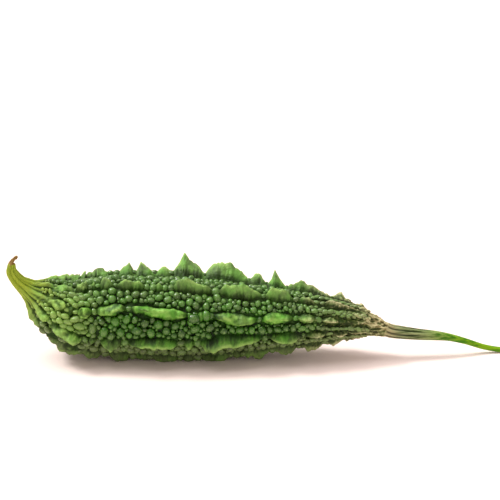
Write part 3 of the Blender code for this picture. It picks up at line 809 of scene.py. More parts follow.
def end_relief(rows, flesh, angles, flat):
    """The beak's fine ribs, the lumps behind it, the neck's wrinkles and a fine net, as heights
    in mm, and how near each point is to a line of the net."""
    beak = np.array([1 - smoothstep((s - BEAK_RIBS_FULL) / BEAK_RIBS_FADE) for s in rows])[:, None]
    ribs = np.cos(BEAK_RIB_COUNT * (angles - math.radians(FIRST_RIDGE_DEG)))
    size = np.clip(flesh / THICK_MM, LEAST_RIBS, 1.0)[:, None]
    ribs = BEAK_RIB_DEPTH_MM * size * beak * ribs
    dry = np.array([dryness(s) for s in rows])
    folds = uneven(flat, (WRINKLE_LENGTH_MM, WRINKLE_MM, WRINKLE_MM), 5).reshape(angles.shape)
    thick = np.clip(flesh / THICK_MM, LEAST_FOLDS, 1.0)
    wrinkles = WRINKLE_DEPTH_MM * (dry * thick)[:, None] * raised_lines(folds, WRINKLE_TOP)
    lumpy = np.array([lumpiness(s) for s in rows])
    lumps = LUMP_HEIGHT_MM * lumpy[:, None] * uneven(flat, (LUMP_MM,) * 3, 6).reshape(angles.shape)
    net = uneven(flat, (NET_LENGTH_MM, NET_MM, NET_MM), 7).reshape(angles.shape)
    rough = (NET_SHARE + (1 - NET_SHARE) * np.maximum(lumpy, dry))[:, None] * thick[:, None]
    netted = NET_DEPTH_MM * rough * raised_lines(net, NET_TOP)
    return ribs + wrinkles + lumps + netted, rough * np.clip(1 - np.abs(net) / NET_LINE, 0, 1)


print("lumps behind the beak between these places in mm:", LUMPY_SPAN)


# %% The whole grid
# two sizes of bumps all over: height and size in mm
BUMPS = ((0.6, 5.0), (0.35, 1.8))
# on the thin beak and neck the bumps fade with the flesh: full from this radius, least share
BUMPS_FULL_MM, BUMPS_LEAST = 12.0, 0.12
# the beak and the neck are bare of warts: bare skin ends in the first span, starts in the second
BARE_BEAK, BARE_NECK = (14.0, 28.0), (182.0, 194.0)
# painted shade darkens the creases by the rise: 0 deep in a crease, 4 and more on open skin; the
# shade of pleats, tall flanks and troughs lowers it. What the ridges, the relief and bare skin give
# to it, and the least usual height of the ridges
RISE_OF_RIDGES, RISE_OF_RELIEF, RISE_OF_BARE, LEAST_USUAL_MM = 5.0, 4.0, 3.5, 1.4


def span_share(span, s):
    """0 before a span along the fruit, 1 after it, and a smooth rise between."""
    return smoothstep((s - span[0]) / (span[1] - span[0]))


def skin_mesh():
    rows, flesh, angles, heights, crests, shades = skin_rows()
    columns = angles.shape[1]
    centres = np.array([FRUIT.point(s) for s in rows])
    ups = np.array([FRUIT.axes(s)[1] for s in rows])
    sides = np.array([FRUIT.axes(s)[2] for s in rows])
    out = np.cos(angles)[..., None] * ups[:, None] + np.sin(angles)[..., None] * sides[:, None]
    smooth = centres[:, None] + (flesh[:, None] + heights)[..., None] * out
    flat = smooth.reshape(-1, 3)
    size = np.clip(flesh / BUMPS_FULL_MM, BUMPS_LEAST, 1.0)
    bumps = sum(height * uneven(flat, wide, 1 + i) for i, (height, wide) in enumerate(BUMPS))
    bumps = bumps.reshape(angles.shape) * size[:, None]
    ends, lines = end_relief(rows, flesh, angles, flat)
    crests = np.maximum(crests, lines)
    points = (smooth + (bumps + ends)[..., None] * out).reshape(-1, 3)
    points[:, 2] = np.maximum(points[:, 2], 0.0)
    faces = []
    for row in range(len(rows) - 1):
        here, there = row * columns, (row + 1) * columns
        for i in range(columns):
            after = (i + 1) % columns
            faces.append((here + i, there + i, there + after, here + after))
    faces.append(tuple(range(columns)))
    faces.append(tuple(range(len(points) - 1, len(points) - columns - 1, -1)))
    along = np.repeat(rows, columns)
    usual = np.array([max(LEAST_USUAL_MM, FRUIT.value(RIDGE_HEIGHT, s)) for s in rows])[:, None]
    bare = np.array([1 - span_share(BARE_BEAK, s) + span_share(BARE_NECK, s) for s in rows])[:, None]
    # the rise sets the painted shade: it is low in creases and where pleats, tall flanks and troughs
    # lie in shade
    rise = heights * RISE_OF_RIDGES / usual - shades
    rise = rise + RISE_OF_RELIEF * (1 + bare) * ends + RISE_OF_BARE * bare
    return points, faces, {
        "along": along, "rise": rise.reshape(-1), "crest": crests.reshape(-1),
        "upper": np.cos(angles).reshape(-1)}


points, faces, attributes = skin_mesh()
print("points of the skin:", len(points))

# %% [markdown]
# ## The skin as a mesh
#
# A mesh from a list of points and faces is the plainest way to bring such a grid into Blender.
# The numbers for the colours ride along as attributes of its points.

# %% Make the skin
def add_mesh(name, points, faces, finish, attributes=()):
    mesh = bpy.data.meshes.new(name)
    mesh.from_pydata((np.asarray(points) * MM).tolist(), [], faces)
    for key, values in dict(attributes).items():
        layer = mesh.attributes.new(key, "FLOAT", "POINT")
        layer.data.foreach_set("value", np.asarray(values, dtype=np.float32))
    mesh.materials.append(finish)
    mesh.shade_smooth()
    piece = bpy.data.objects.new(name, mesh)
    bpy.context.scene.collection.objects.link(piece)
    return piece


def settle(piece, node):
    """Lets a piece ride with the object in place of its solid."""
    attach(piece, "root")
    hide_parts(node)
    corners = [piece.matrix_world @ Vector(c) / MM for c in piece.bound_box]
    spans = [max(c[i] for c in corners) - min(c[i] for c in corners) for i in range(3)]
    triangles = sum(len(p.vertices) - 2 for p in piece.data.polygons)
    print(f"{piece.name}: {triangles} triangles, {spans[0]:.1f} x {spans[1]:.1f} x {spans[2]:.1f} mm")


fruit_skin = add_mesh("ridged_skin", points, faces, skin, attributes)
settle(fruit_skin, "fruit")

# %% [markdown]
# ## Where the warts sit
#
# On the real fruit large warts come first and small ones fill the room between them. Throwing
# darts does the same: try a place at random, keep it if nothing is in the way, and go on with
# smaller darts when no more large ones fit. The first throws are those of the solid model, so its
# warts lie under the ones made here. The later throws add the small beads that only this model
# has, and beads in the breaks of the ridges.

# %% The throws that the solid model makes too
FIN_START, FIN_END = 18.0, 190.0
FIN_LINE_SPACING = 6.5
WART_SEED = 23
WARTS_START, WARTS_END = 22.0, 184.0
# smallest and largest radius, tries in each valley, sides
WART_SIZES = ((2.0, 2.45, 500, 6), (1.55, 1.9, 900, 5), (1.15, 1.35, 60, 5))
WART_HEIGHT_SHARE = (1.15, 1.5)
WART_CLEARANCE = 0.12
# how large the warts of each valley are beside those of the rest
VALLEY_WART_SCALE = (0.92, 0.85, 0.95, 0.88, 0.92, 1.0, 0.84, 0.88)


def even_steps(start, end, spacing):
    count = max(1, round((end - start) / spacing))
    return [start + (end - start) * i / count for i in range(count + 1)]


BASE_STOPS = even_steps(FIN_START, FIN_END, FIN_LINE_SPACING)


def foot_lines(valley):
    """The feet of the two ridges beside a valley, as (s, y) points with y from its middle."""
    lower = [(s, base_half_width(valley, s) - half_panel(valley, s)) for s in BASE_STOPS]
    upper = [(s, half_panel(valley, s) - base_half_width(valley + 1, s)) for s in BASE_STOPS]
    return lower, upper


def read_line(line, s):
    for (s0, y0), (s1, y1) in zip(line, line[1:]):
        if s <= s1:
            return y0 + (y1 - y0) * (s - s0) / (s1 - s0)
    return line[-1][1]


def place_warts(valley):
    """Warts of one valley, as (s, y, radius, height, sides, turn)."""
    rng = random.Random(WART_SEED + valley)
    lower, upper = foot_lines(valley)
    warts = []
    for smallest, largest, tries, sides in WART_SIZES:
        for _ in range(tries):
            s = rng.uniform(WARTS_START, WARTS_END)
            radius = rng.uniform(smallest, largest) * VALLEY_WART_SCALE[valley]
            radius *= FRUIT.value(WART_SCALE, s)
            across, height, turn = rng.random(), rng.uniform(*WART_HEIGHT_SHARE), rng.random()
            room = radius + WART_CLEARANCE
            checks = (s - room, s, s + room)
            low = max(read_line(lower, at) for at in checks) + room
            high = min(read_line(upper, at) for at in checks) - room
            if low > high:
                continue
            y = low + across * (high - low)
            if all(math.hypot(s - w[0], y - w[1]) > room + w[2] for w in warts):
                warts.append((s, y, radius, height * radius, sides, turn))
    return warts


SOLID_WARTS = [place_warts(valley) for valley in range(RIDGE_COUNT)]
print("warts of the solid model in each valley:", [len(warts) for warts in SOLID_WARTS])

# %% The beads that fill the room between them
BEAD_SEED = 71
# tries in each valley, then the smallest and the largest radius
BEAD_FILLS = ((2200, 1.35, 2.1), (2200, 1.0, 1.5), (500, 0.7, 1.0))
BEAD_OVERLAP = 0.42
BEADS_START, BEADS_END = 22.0, 190.0
# under the beak the lowest ridges stand close, and no small beads grow between them
BARE_VALLEYS, BARE_END = (3, 4), 50.0
# how far over the foot of a ridge a bead may reach, as a share of its radius
BEAD_CLIMB = 0.45
# a bead's scale: a fixed part, what the wart scale adds and what lumpy skin adds
BEAD_SCALES = (0.3, 0.7, 0.2)


def skin_height(ridge, s, y):
    """Height of the skin over the flesh in a valley, from the fins on both sides of it."""
    usual, half = FRUIT.value(RIDGE_HEIGHT, s), half_panel(ridge, s)
    total = 0.0
    for fin, sign in ((ridge, 1), (ridge + 1, -1)):
        height = crest_height(fin, s)
        u = (sign * y + half) / fin_half_width(fin, s, height, usual)
        total += height * float(fin_shape(u, sharpness_at(fin, height, usual)))
    return total


def fill_with_beads(valley, warts):
    """Beads that grow in the room the warts leave until they touch, as (s, y, radius)."""
    rng = random.Random(BEAD_SEED + valley)
    places = np.array([(s, y, radius) for s, y, radius, *_ in warts])
    fixed, of_warts, of_lumps = BEAD_SCALES
    beads = []
    for tries, smallest, largest in BEAD_FILLS:
        for _ in range(tries):
            s, across = rng.uniform(BEADS_START, BEADS_END), rng.random()
            scale = fixed + of_warts * FRUIT.value(WART_SCALE, s) + of_lumps * lumpiness(s)
            half = half_panel(valley, s)
            low = base_half_width(valley, s) - half
            high = half - base_half_width(valley + 1, s)
            y = low + across * (high - low)
            free = float(np.min(np.hypot(places[:, 0] - s, places[:, 1] - y) - places[:, 2]))
            beside = min(y - low, high - y) / (1 - BEAD_CLIMB)
            radius = min(free + BEAD_OVERLAP, beside, largest * scale)
            if radius >= smallest * scale and not (valley in BARE_VALLEYS and s < BARE_END):
                places = np.vstack([places, (s, y, radius)])
                beads.append((s, y, radius))
    return beads


print(f"half way along, valley 0 lies {skin_height(0, 95.0, 0.0):.1f} mm over the flesh")

# %% The beads in the breaks of the ridges
# in the breaks of a ridge: how far the row of beads runs onto the bars, the room for each bead,
# its radius as a share of its room with the least and the most in mm, and the draw of its size
BREAK_OVERLAP, BREAK_ROOM = 0.8, 3.6
BREAK_SHARE, BREAK_LEAST, BREAK_MOST = 0.55, 1.0, 2.1
BREAK_DRAW, BREAK_SEED = (0.85, 1.1), 121


def beads_in_breaks(ridge):
    """Beads that sit on the crest line where the ridge is broken, as (s, radius)."""
    rng = random.Random(BREAK_SEED + ridge)
    bars = sorted(BARS[ridge])
    beads = []
    for here, there in zip(bars, bars[1:]):
        room = there[0] - here[1] + 2 * BREAK_OVERLAP
        count = max(1, round(room / BREAK_ROOM))
        for i in range(count):
            s = here[1] - BREAK_OVERLAP + (i + 0.5) * room / count
            radius = min(BREAK_MOST, max(BREAK_LEAST, BREAK_SHARE * room / count))
            beads.append((s, radius * FRUIT.value(WART_SCALE, s) * rng.uniform(*BREAK_DRAW)))
    return beads


print("beads in the breaks of each ridge:", [len(beads_in_breaks(i)) for i in range(RIDGE_COUNT)])

# %% A list of beads for the node tree
# beads are drawn out lengthways by this draw, and dry and lumpy skin adds to it; a long bead is
# thinner by this power, and a dry one flatter by this share
STRETCH, DRY_STRETCH, LUMPY_STRETCH = (1.0, 1.2), 0.25, 0.2
THIN_POWER, DRY_FLATNESS = 0.6, 0.3
# on dry or lumpy skin the beads keep this share nearer to the fruit's own direction
ALIGNED_SHARE = 0.85


class BeadList:
    """Beads as points with the numbers that the node tree reads."""

    def __init__(self, seed):
        self.rng = random.Random(seed)
        self.rows = []

    def add(self, s, angle, over_flesh, radius, tall):
        """A bead whose middle lies over_flesh above the flesh. tall is its height share."""
        centre = FRUIT.around(s, angle, FRUIT.value(FLESH_RADIUS, s) + over_flesh)
        up = FRUIT.outward(s, angle)
        ahead = FRUIT.axes(s)[0]
        frame = Matrix((ahead, up.cross(ahead), up)).transposed()
        dry, lumpy = dryness(s), lumpiness(s)
        turn = self.rng.uniform(-1, 1) * (1 - ALIGNED_SHARE * max(dry, lumpy)) * math.pi
        spin = Matrix.Rotation(turn, 3, "Z")
        stretch = self.rng.uniform(*STRETCH) + DRY_STRETCH * dry + LUMPY_STRETCH * lumpy
        flat = 1 - DRY_FLATNESS * dry
        self.rows.append((
            centre, (frame @ spin).to_euler(),
            (radius * stretch, radius / stretch ** THIN_POWER, radius * tall * flat),
            self.rng.random(), s, math.cos(angle)))


print(f"beads are drawn out by {STRETCH[0]} to {STRETCH[1]}, and more on dry and lumpy skin")

# %% Collect every bead with its place, size and tint
# two large beads stand where the ridge that faces the viewer is broken, the first of them a little
# below its line: ridge, s, how far round from the ridge in radians, radius
FACING_BEADS = ((6, 103.4, -0.09, 2.9), (6, 109.4, 0.0, 2.5))
# a bead's middle lies this share of its height above the skin, and the fins' feet lift it
BEAD_MIDDLE, FOOT_LIFT = 0.45, 0.8
# beads from this radius on join the large ones, whose copies are rounder
LARGE_FROM_MM = 1.15
# how much larger a bead is made than the room it was given, so that neighbours touch
WART_GROWTH, BEAD_GROWTH, BREAK_GROWTH = 1.07, 1.05, 1.1
# how tall the beads of each kind are beside their radius, or beside their own height for warts
WART_TALL, BREAK_TALL, FACING_TALL = 1.15, 0.9, 1.05
# how far over the flesh the middles of the two large beads lie
FACING_OVER_MM = 2.0
# the seeds of the draws for turns, stretches and tints
LARGE_SEED, SMALL_SEED = 11, 12


def gather_beads():
    large, small = BeadList(LARGE_SEED), BeadList(SMALL_SEED)
    for valley in range(RIDGE_COUNT):
        warts = SOLID_WARTS[valley]
        for s, y, radius, height, _, _ in warts:
            lifted = BEAD_MIDDLE * height + FOOT_LIFT * skin_height(valley, s, y)
            tall = WART_TALL * (1 - BEAD_MIDDLE) * height / radius
            large.add(s, angle_of(valley, s, y), lifted, WART_GROWTH * radius, tall)
        for s, y, radius in fill_with_beads(valley, warts):
            chosen = large if radius > LARGE_FROM_MM else small
            lifted = BEAD_MIDDLE * radius + FOOT_LIFT * skin_height(valley, s, y)
            chosen.add(s, angle_of(valley, s, y), lifted, BEAD_GROWTH * radius, 1.0)
        for s, radius in beads_in_breaks(valley):
            lifted = crest_height(valley, s) - BEAD_MIDDLE * radius
            large.add(s, ridge_angle(valley, s), lifted, BREAK_GROWTH * radius, BREAK_TALL)
    for ridge, s, turn, radius in FACING_BEADS:
        large.add(s, ridge_angle(ridge, s) + turn, FACING_OVER_MM, radius, FACING_TALL)
    return large, small


large_beads, small_beads = gather_beads()
print("warts:", len(large_beads.rows), "small beads:", len(small_beads.rows))

# %% [markdown]
# ## Strewing the warts with Geometry Nodes
#
# Thousands of beads of one kind are what Geometry Nodes are for. The tree puts a small sphere on
# every point, turns it to stand on the skin, gives it its own size, makes the copies real and
# then presses the whole crowd a little out of round with noise, so no two beads match. Everything
# that a user may want to change is an input of the tree.

# %% The tree that puts a bead on every point
def bead_tree():
    tree = bpy.data.node_groups.new("beads_on_points", "GeometryNodeTree")
    for name, kind in (
            ("Geometry", "Geometry"), ("Sides", "Int"), ("Rings", "Int"), ("Lump size", "Float"),
            ("Lump depth", "Float"), ("Seed", "Float"), ("Finish", "Material")):
        tree.interface.new_socket(name, in_out="INPUT", socket_type="NodeSocket" + kind)
    tree.interface.new_socket("Geometry", in_out="OUTPUT", socket_type="NodeSocketGeometry")
    given = add_node(tree, "NodeGroupInput").outputs
    ball = add_node(tree, "GeometryNodeMeshUVSphere", {
        "Segments": given["Sides"], "Rings": given["Rings"], "Radius": 1.0}).outputs["Mesh"]
    height = add_node(tree, "ShaderNodeSeparateXYZ", {
        0: add_node(tree, "GeometryNodeInputPosition").outputs[0]}).outputs["Z"]
    marked = add_node(tree, "GeometryNodeStoreNamedAttribute", {
        "Geometry": ball, "Name": "lift", "Value": height}).outputs[0]
    size, turn = [
        add_node(tree, "GeometryNodeInputNamedAttribute", {
            "Name": name}, data_type="FLOAT_VECTOR").outputs["Attribute"] for name in ("size", "turn")]
    turned = add_node(tree, "FunctionNodeEulerToRotation", {0: turn}).outputs[0]
    copies = add_node(tree, "GeometryNodeInstanceOnPoints", {
        "Points": given["Geometry"], "Instance": marked, "Rotation": turned, "Scale": size})
    real = add_node(tree, "GeometryNodeRealizeInstances", {0: copies.outputs[0]}).outputs[0]
    place = add_node(tree, "GeometryNodeInputPosition").outputs[0]
    lumps = add_node(tree, "ShaderNodeTexNoise", {
        "Vector": add_node(tree, "ShaderNodeVectorMath", {
            0: place, "Scale": add_node(tree, "ShaderNodeMath", {
                0: 1.0, 1: given["Lump size"]}, operation="DIVIDE").outputs[0]},
            operation="SCALE").outputs[0],
        "W": given["Seed"], "Scale": 1.0, "Detail": 1.0}, noise_dimensions="4D").outputs["Color"]
    centred = add_node(tree, "ShaderNodeVectorMath", {
        0: lumps, 1: (0.5, 0.5, 0.5)}, operation="SUBTRACT").outputs[0]
    push = add_node(tree, "ShaderNodeVectorMath", {
        0: centred, "Scale": given["Lump depth"]}, operation="SCALE").outputs[0]
    pressed = add_node(tree, "GeometryNodeSetPosition", {
        "Geometry": real, "Offset": push}).outputs[0]
    smooth = add_node(tree, "GeometryNodeSetShadeSmooth", {"Geometry": pressed}).outputs[0]
    done = add_node(tree, "GeometryNodeSetMaterial", {
        "Geometry": smooth, "Material": given["Finish"]}).outputs[0]
    add_node(tree, "NodeGroupOutput", {"Geometry": done})
    return tree


BEADS_ON_POINTS = bead_tree()
print("inputs of the tree:", [
    item.name for item in BEADS_ON_POINTS.interface.items_tree if item.in_out == "INPUT"])


# %% Run the tree and keep its plain mesh
def strew(name, beads, values):
    """Points with their numbers, run through the tree, as a plain mesh object."""
    cloud = bpy.data.meshes.new(name + "_points")
    cloud.from_pydata([tuple(row[0] * MM) for row in beads.rows], [], [])
    for key, column in (("turn", 1), ("size", 2)):
        layer = cloud.attributes.new(key, "FLOAT_VECTOR", "POINT")
        scale = MM if key == "size" else 1.0
        vectors = np.array([tuple(row[column]) for row in beads.rows], dtype=np.float32) * scale
        layer.data.foreach_set("vector", vectors.ravel())
    for key, column in (("tint", 3), ("along", 4), ("upper", 5)):
        layer = cloud.attributes.new(key, "FLOAT", "POINT")
        layer.data.foreach_set("value", np.array([row[column] for row in beads.rows], dtype=np.float32))
    host = bpy.data.objects.new(name + "_host", cloud)
    bpy.context.scene.collection.objects.link(host)
    modifier = host.modifiers.new("beads", "NODES")
    modifier.node_group = BEADS_ON_POINTS
    for item in BEADS_ON_POINTS.interface.items_tree:
        if item.in_out == "INPUT" and item.name in values:
            modifier[item.identifier] = values[item.name]
    shown = host.evaluated_get(bpy.context.evaluated_depsgraph_get())
    mesh = bpy.data.meshes.new_from_object(shown)
    mesh.name = name
    bpy.data.objects.remove(host)
    coordinates = np.empty(len(mesh.vertices) * 3, dtype=np.float32)
    mesh.vertices.foreach_get("co", coordinates)
    coordinates = coordinates.reshape(-1, 3)
    coordinates[:, 2] = np.maximum(coordinates[:, 2], 0.0)
    mesh.vertices.foreach_set("co", coordinates.ravel())
    piece = bpy.data.objects.new(name, mesh)
    bpy.context.scene.collection.objects.link(piece)
    return piece


warts_large = strew("large_warts", large_beads, {
    "Sides": 10, "Rings": 7, "Lump size": 2.4 * MM, "Lump depth": 1.1 * MM, "Seed": 3.0,
    "Finish": warts_finish})
settle(warts_large, "fruit")
warts_small = strew("small_warts", small_beads, {
    "Sides": 8, "Rings": 5, "Lump size": 1.5 * MM, "Lump depth": 0.5 * MM, "Seed": 8.0,
    "Finish": warts_finish})
settle(warts_small, "fruit")

# %% [markdown]
# ## The stalk
#
# The stalk is a smooth green stem. Where it leaves the neck it still carries the eight ribs of the
# fruit, dry and greyish; further on it is round, thin and bright, and it has been cut square, so
# its end shows a pale ring round a softer core. It is drawn as one closed tube whose radius is a
# formula, which is simpler than a curve object once ribs and a cut end are wanted.

# %% A tube round a line
# the gap between the fruit and what grows from it
GAP = 0.3
# rings on a cut end: share of the radius, share of the depth to which the end is dished
END_RINGS = ((0.8, 0.1), (0.5, 0.6))


def track_from_fruit(s, outward, leaves, stations):
    """A track that leaves one end of the fruit squarely, a gap away from it, and runs on."""
    ahead = outward * FRUIT.axes(s)[0]
    start = [(*(FRUIT.point(s) + distance * ahead), radius) for distance, radius in leaves]
    return Track(start + stations)


def tube(track, sides, stops, radius_at, end_dish=0.0):
    """A closed tube. radius_at(s, angle) is its radius, end_dish how deep its far end is dished."""
    points, faces, along = [], [], []
    for s in stops:
        for i in range(sides):
            angle = 2 * math.pi * i / sides
            points.append(track.around(s, angle, radius_at(s, angle)))
            along.append(s)
    for row in range(len(stops) - 1):
        for i in range(sides):
            here, there, after = row * sides, (row + 1) * sides, (i + 1) % sides
            faces.append((here + i, there + i, there + after, here + after))
    faces.append(tuple(range(sides)))
    last, end = (len(stops) - 1) * sides, stops[-1]
    ahead = track.axes(end)[0]
    for share, depth in END_RINGS:
        for i in range(sides):
            angle = 2 * math.pi * i / sides
            ring_point = track.around(end, angle, share * radius_at(end, angle))
            points.append(ring_point - depth * end_dish * ahead)
            along.append(end)
    for ring in range(len(END_RINGS)):
        here, there = last + ring * sides, last + (ring + 1) * sides
        for i in range(sides):
            after = (i + 1) % sides
            faces.append((here + i, there + i, there + after, here + after))
    points.append(track.point(end) - end_dish * ahead)
    along.append(end)
    inner = last + len(END_RINGS) * sides
    for i in range(sides):
        faces.append((inner + i, len(points) - 1, inner + (i + 1) % sides))
    pressed = [(p.x, p.y, max(p.z, 0.0)) for p in points]
    return pressed, faces, along


print("the stalk leaves the neck towards", [round(v, 2) for v in FRUIT.axes(FRUIT.length)[0]])

# %% The stalk's finish
STREAK_MM = 1.2


def stalk_finish():
    # a stem has less wax than the skin, so it shines less; it is streaked along its fibres
    material, tree, shader = new_finish("smooth_green_stalk", 0.5, IOR=WAX_IOR, Specular_IOR_Level=0.2)
    where = add_node(tree, "ShaderNodeTexCoord").outputs["Object"]
    along, groove = [
        add_node(tree, "ShaderNodeAttribute", attribute_name=name).outputs["Fac"]
        for name in ("along", "groove")]
    streaks = add_node(tree, "ShaderNodeMapping", {"Vector": where, "Scale": (0.06, 1.0, 1.0)})
    streak = add_node(tree, "ShaderNodeTexNoise", {
        "Vector": streaks.outputs[0], "Scale": 1 / (STREAK_MM * MM), "Detail": 3.0}).outputs["Fac"]
    green, dry = [
        painted(tree, dark, [(pale, "MIX", 1.0, (streak, 0.36, 0.62))])
        for dark, pale in (("#3d7a02", "#76a30c"), ("#3d5020", "#929c6c"))]
    colour = painted(tree, dry, [
        # fresh green further on, tan at the root, and painted shade in the grooves between the ribs
        (green, "MIX", 1.0, (along, 12.0, 40.0)),
        ("#b9ae82", "MIX", 0.7, (along, 7.0, 0.0)),
        ("#4a4f45", "MULTIPLY", 0.9, (groove, 0.2, 1.0)),
    ])
    dress(tree, shader, colour, streak, 0.4, 0.2)
    return material


stem_finish = stalk_finish()
print("finish:", stem_finish.name)

# %% The stalk's shape
STALK_LEAVES = [(GAP, 3.25), (GAP + 2.0, 3.2)]
STALK_STATIONS = [
    (65.8, -0.9, 12.9, 3.05),
    (75.3, -0.2, 11.5, 2.7),
    (83.3, 0.6, 10.6, 2.4),
    (91.3, 1.6, 9.1, 1.9),
    (100.3, 2.7, 6.3, 1.55),
    (108.3, 3.6, 3.3, 1.4),
    (116.3, 4.0, 1.55, 1.35),
    (124.3, 3.8, 1.25, 1.35),
    (131.0, 3.2, 1.3, 1.5),
]
STALK_RIB_SHARE = 0.1
STALK_RIBS_END = 45.0
STALK_SIDES = 32
STALK_ROWS = 190
STALK_ROOT_MM = 1.6
# finer ribs: their depth as a share, their number and how they wind
FINE_RIB_SHARE, FINE_RIBS, FINE_RIB_WIND = 0.012, 13, 0.25
# how the grooves between the ribs waver: how far and how often, in radians
GROOVE_WAVER, GROOVE_WAVER_TURN = 0.5, 0.3
STALK_DISH_MM = 0.5


def stalk_shape():
    track = track_from_fruit(FRUIT.length, 1, STALK_LEAVES, STALK_STATIONS)

    def ribs(s, angle, waver=0.0):
        """1 on a rib and -1 in a groove, and less where the ribs have faded."""
        phase = RIDGE_COUNT * (angle - math.radians(FIRST_RIDGE_DEG)) + waver
        return (1 - smoothstep(s / STALK_RIBS_END)) * math.cos(phase)

    def radius(s, angle):
        fine = FINE_RIB_SHARE * math.sin(FINE_RIBS * angle + FINE_RIB_WIND * s)
        return track.value(3, s) * (1 + STALK_RIB_SHARE * ribs(s, angle) + fine)

    def groove(s, angle):
        waver = GROOVE_WAVER * math.sin(GROOVE_WAVER_TURN * s)
        return 0.5 * (1 - smoothstep(s / STALK_RIBS_END) - ribs(s, angle, waver))

    stops = np.linspace(-STALK_ROOT_MM, track.length, STALK_ROWS).tolist()
    points, faces, along = tube(track, STALK_SIDES, stops, radius, end_dish=STALK_DISH_MM)
    grooves = [groove(s, 2 * math.pi * (i % STALK_SIDES) / STALK_SIDES) for i, s in enumerate(along)]
    return points, faces, {"along": along, "groove": grooves}


stalk_points, stalk_faces, stalk_attributes = stalk_shape()
stalk = add_mesh("ribbed_stalk", stalk_points, stalk_faces, stem_finish, stalk_attributes)
settle(stalk, "stalk")

# %% [markdown]
# ## The dried flower end
#
# The withered flower clings to the beak as a brown, papery curl. It is a thin crumpled tube, so a
# tube with a wavering radius stands for it. Dry tissue has lost its wax: it is matt and mottled.

# %% The dried flower end
FLOWER_END_LEAVES = [(GAP, 1.35), (GAP + 0.5, 1.1)]
FLOWER_END_STATIONS = [
    (-127.7, -2.8, 52.1, 0.9),
    (-126.9, -2.8, 53.1, 0.75),
    (-126.0, -2.8, 53.9, 0.85),
    (-125.2, -2.8, 54.4, 0.55),
]
FLOWER_END_SIDES, FLOWER_END_ROWS = 24, 40
FLOWER_END_ROOT_MM, FLOWER_END_DISH_MM = 0.8, 0.4
# its folds: depth as a share, number round the tube, and how they wind
CRUMPLES = ((0.16, 3, 1.1), (0.10, 5, -2.3))
BLOTCH_MM = 1.0


def dry_finish():
    material, tree, shader = new_finish("dried_flower", 0.8, IOR=1.45)
    where = add_node(tree, "ShaderNodeTexCoord").outputs["Object"]
    blotch = add_node(tree, "ShaderNodeTexNoise", {
        "Vector": where, "Scale": 1 / (BLOTCH_MM * MM), "Detail": 3.0}).outputs["Fac"]
    dress(tree, shader, painted(tree, "#4a2f12", [("#a88a45", "MIX", blotch)]), blotch, 0.6, 0.2)
    return material


def flower_end_shape():
    track = track_from_fruit(0.0, -1, FLOWER_END_LEAVES, FLOWER_END_STATIONS)

    def radius(s, angle):
        folds = sum(share * math.sin(count * angle + wind * s) for share, count, wind in CRUMPLES)
        return track.value(3, s) * (1 + folds)

    stops = np.linspace(-FLOWER_END_ROOT_MM, track.length, FLOWER_END_ROWS).tolist()
    return tube(track, FLOWER_END_SIDES, stops, radius, end_dish=FLOWER_END_DISH_MM)


flower_points, flower_faces, _ = flower_end_shape()
flower_end = add_mesh("withered_flower_end", flower_points, flower_faces, dry_finish())
settle(flower_end, "dried_flower_end")

# %% [markdown]
# ## The floor, the light and the camera
#
# The gourd lies on plain white paper in a white room. Two suns light it from above and from the
# left: a wide one whose shadows are soft, and a small one that draws a crisp shine on every bead
# and crest. The camera looks down at it by twenty degrees through a long lens, so the far side
# isn't drawn much smaller than the near one.

# %% Floor
FLOOR_HALF_MM, FLOOR_BELOW_MM = 3000.0, 0.15
# the grain of real paper is finer; it is drawn as coarse as it needs to show
PAPER_GRAIN_MM = 1.1


def floor_finish():
    material, tree, shader = new_finish("matt_white_paper", 0.9)
    where = add_node(tree, "ShaderNodeTexCoord").outputs["Object"]
    grain = add_node(tree, "ShaderNodeTexNoise", {
        "Vector": where, "Scale": 1 / (PAPER_GRAIN_MM * MM)}).outputs["Fac"]
    tree.links.new(painted(tree, "#f6e4e2", [("#fbece9", "MIX", grain)]), shader.inputs["Base Color"])
    return material


corners = [(x * FLOOR_HALF_MM, y * FLOOR_HALF_MM, -FLOOR_BELOW_MM)
           for x, y in ((-1, -1), (1, -1), (1, 1), (-1, 1))]
floor = add_mesh("floor", corners, [(0, 1, 2, 3)], floor_finish())
print(f"floor: {2 * FLOOR_HALF_MM / 1000:.0f} m wide, {FLOOR_BELOW_MM} mm below the gourd")


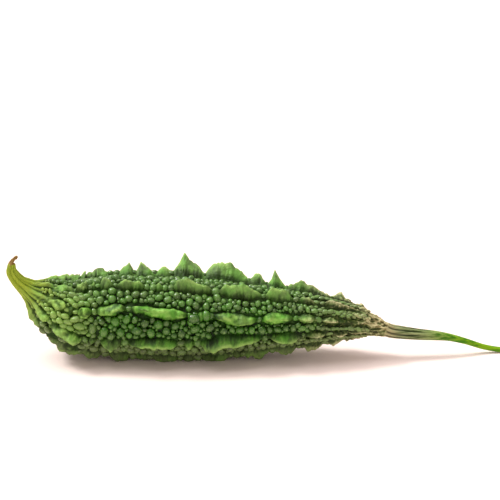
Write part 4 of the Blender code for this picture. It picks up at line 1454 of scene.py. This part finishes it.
# %% Light
def add_sun(name, towards, strength, softness, colour):
    """A light from far away. softness is how wide a piece of the sky it fills, in radians."""
    data = bpy.data.lights.new(name, "SUN")
    data.energy, data.angle = strength, softness
    data.color = linear(colour)[:3]
    lamp = bpy.data.objects.new(name, data)
    lamp.location = towards
    lamp.rotation_euler = Vector(towards).to_track_quat("Z", "Y").to_euler()
    bpy.context.scene.collection.objects.link(lamp)
    return lamp


ROOM_STRENGTH = 0.72
add_sun("soft_top", (-0.3, 0.1, 0.95), 1.6, 0.9, "#fffefc")
add_sun("key_left", (-0.6, 0.2, 0.75), 2.2, 0.25, "#fffdf8")
world = bpy.data.worlds.new("white_room")
world.use_nodes = True
world.node_tree.nodes["Background"].inputs["Color"].default_value = linear("#fff2ea")
world.node_tree.nodes["Background"].inputs["Strength"].default_value = ROOM_STRENGTH
bpy.context.scene.world = world
bpy.context.scene.view_settings.view_transform = "Standard"
print("lights:", [light.name for light in bpy.data.lights])

# %% Camera
CAMERA_ELEVATION = math.radians(20.0)
LENS_MM, SENSOR_MM = 135.0, 36.0
PIXEL_MM = 0.5
FRAME_PIXELS = 500
# the picture's centre, in mm right of and above the origin as the camera sees it
CENTRE_RIGHT_MM, CENTRE_UP_MM = -9.8, 53.35
# the plane of true scale runs this far in front of the origin
NEAR_SIDE_MM = 14.0

camera_data = bpy.data.cameras.new("camera")
camera_data.lens, camera_data.sensor_width = LENS_MM, SENSOR_MM
camera = bpy.data.objects.new("camera", camera_data)
bpy.context.scene.collection.objects.link(camera)
sight = Vector((0.0, math.cos(CAMERA_ELEVATION), -math.sin(CAMERA_ELEVATION)))
picture_up = Vector((0.0, math.sin(CAMERA_ELEVATION), math.cos(CAMERA_ELEVATION)))
aim = Vector((CENTRE_RIGHT_MM * MM, 0.0, 0.0)) + CENTRE_UP_MM * MM * picture_up
distance = (LENS_MM / SENSOR_MM * PIXEL_MM * FRAME_PIXELS + NEAR_SIDE_MM) * MM
camera.location = aim - distance * sight
camera.rotation_euler = sight.to_track_quat("-Z", "Y").to_euler()
bpy.context.scene.camera = camera
print(f"camera {distance / MM:.0f} mm from the plane it is set for")
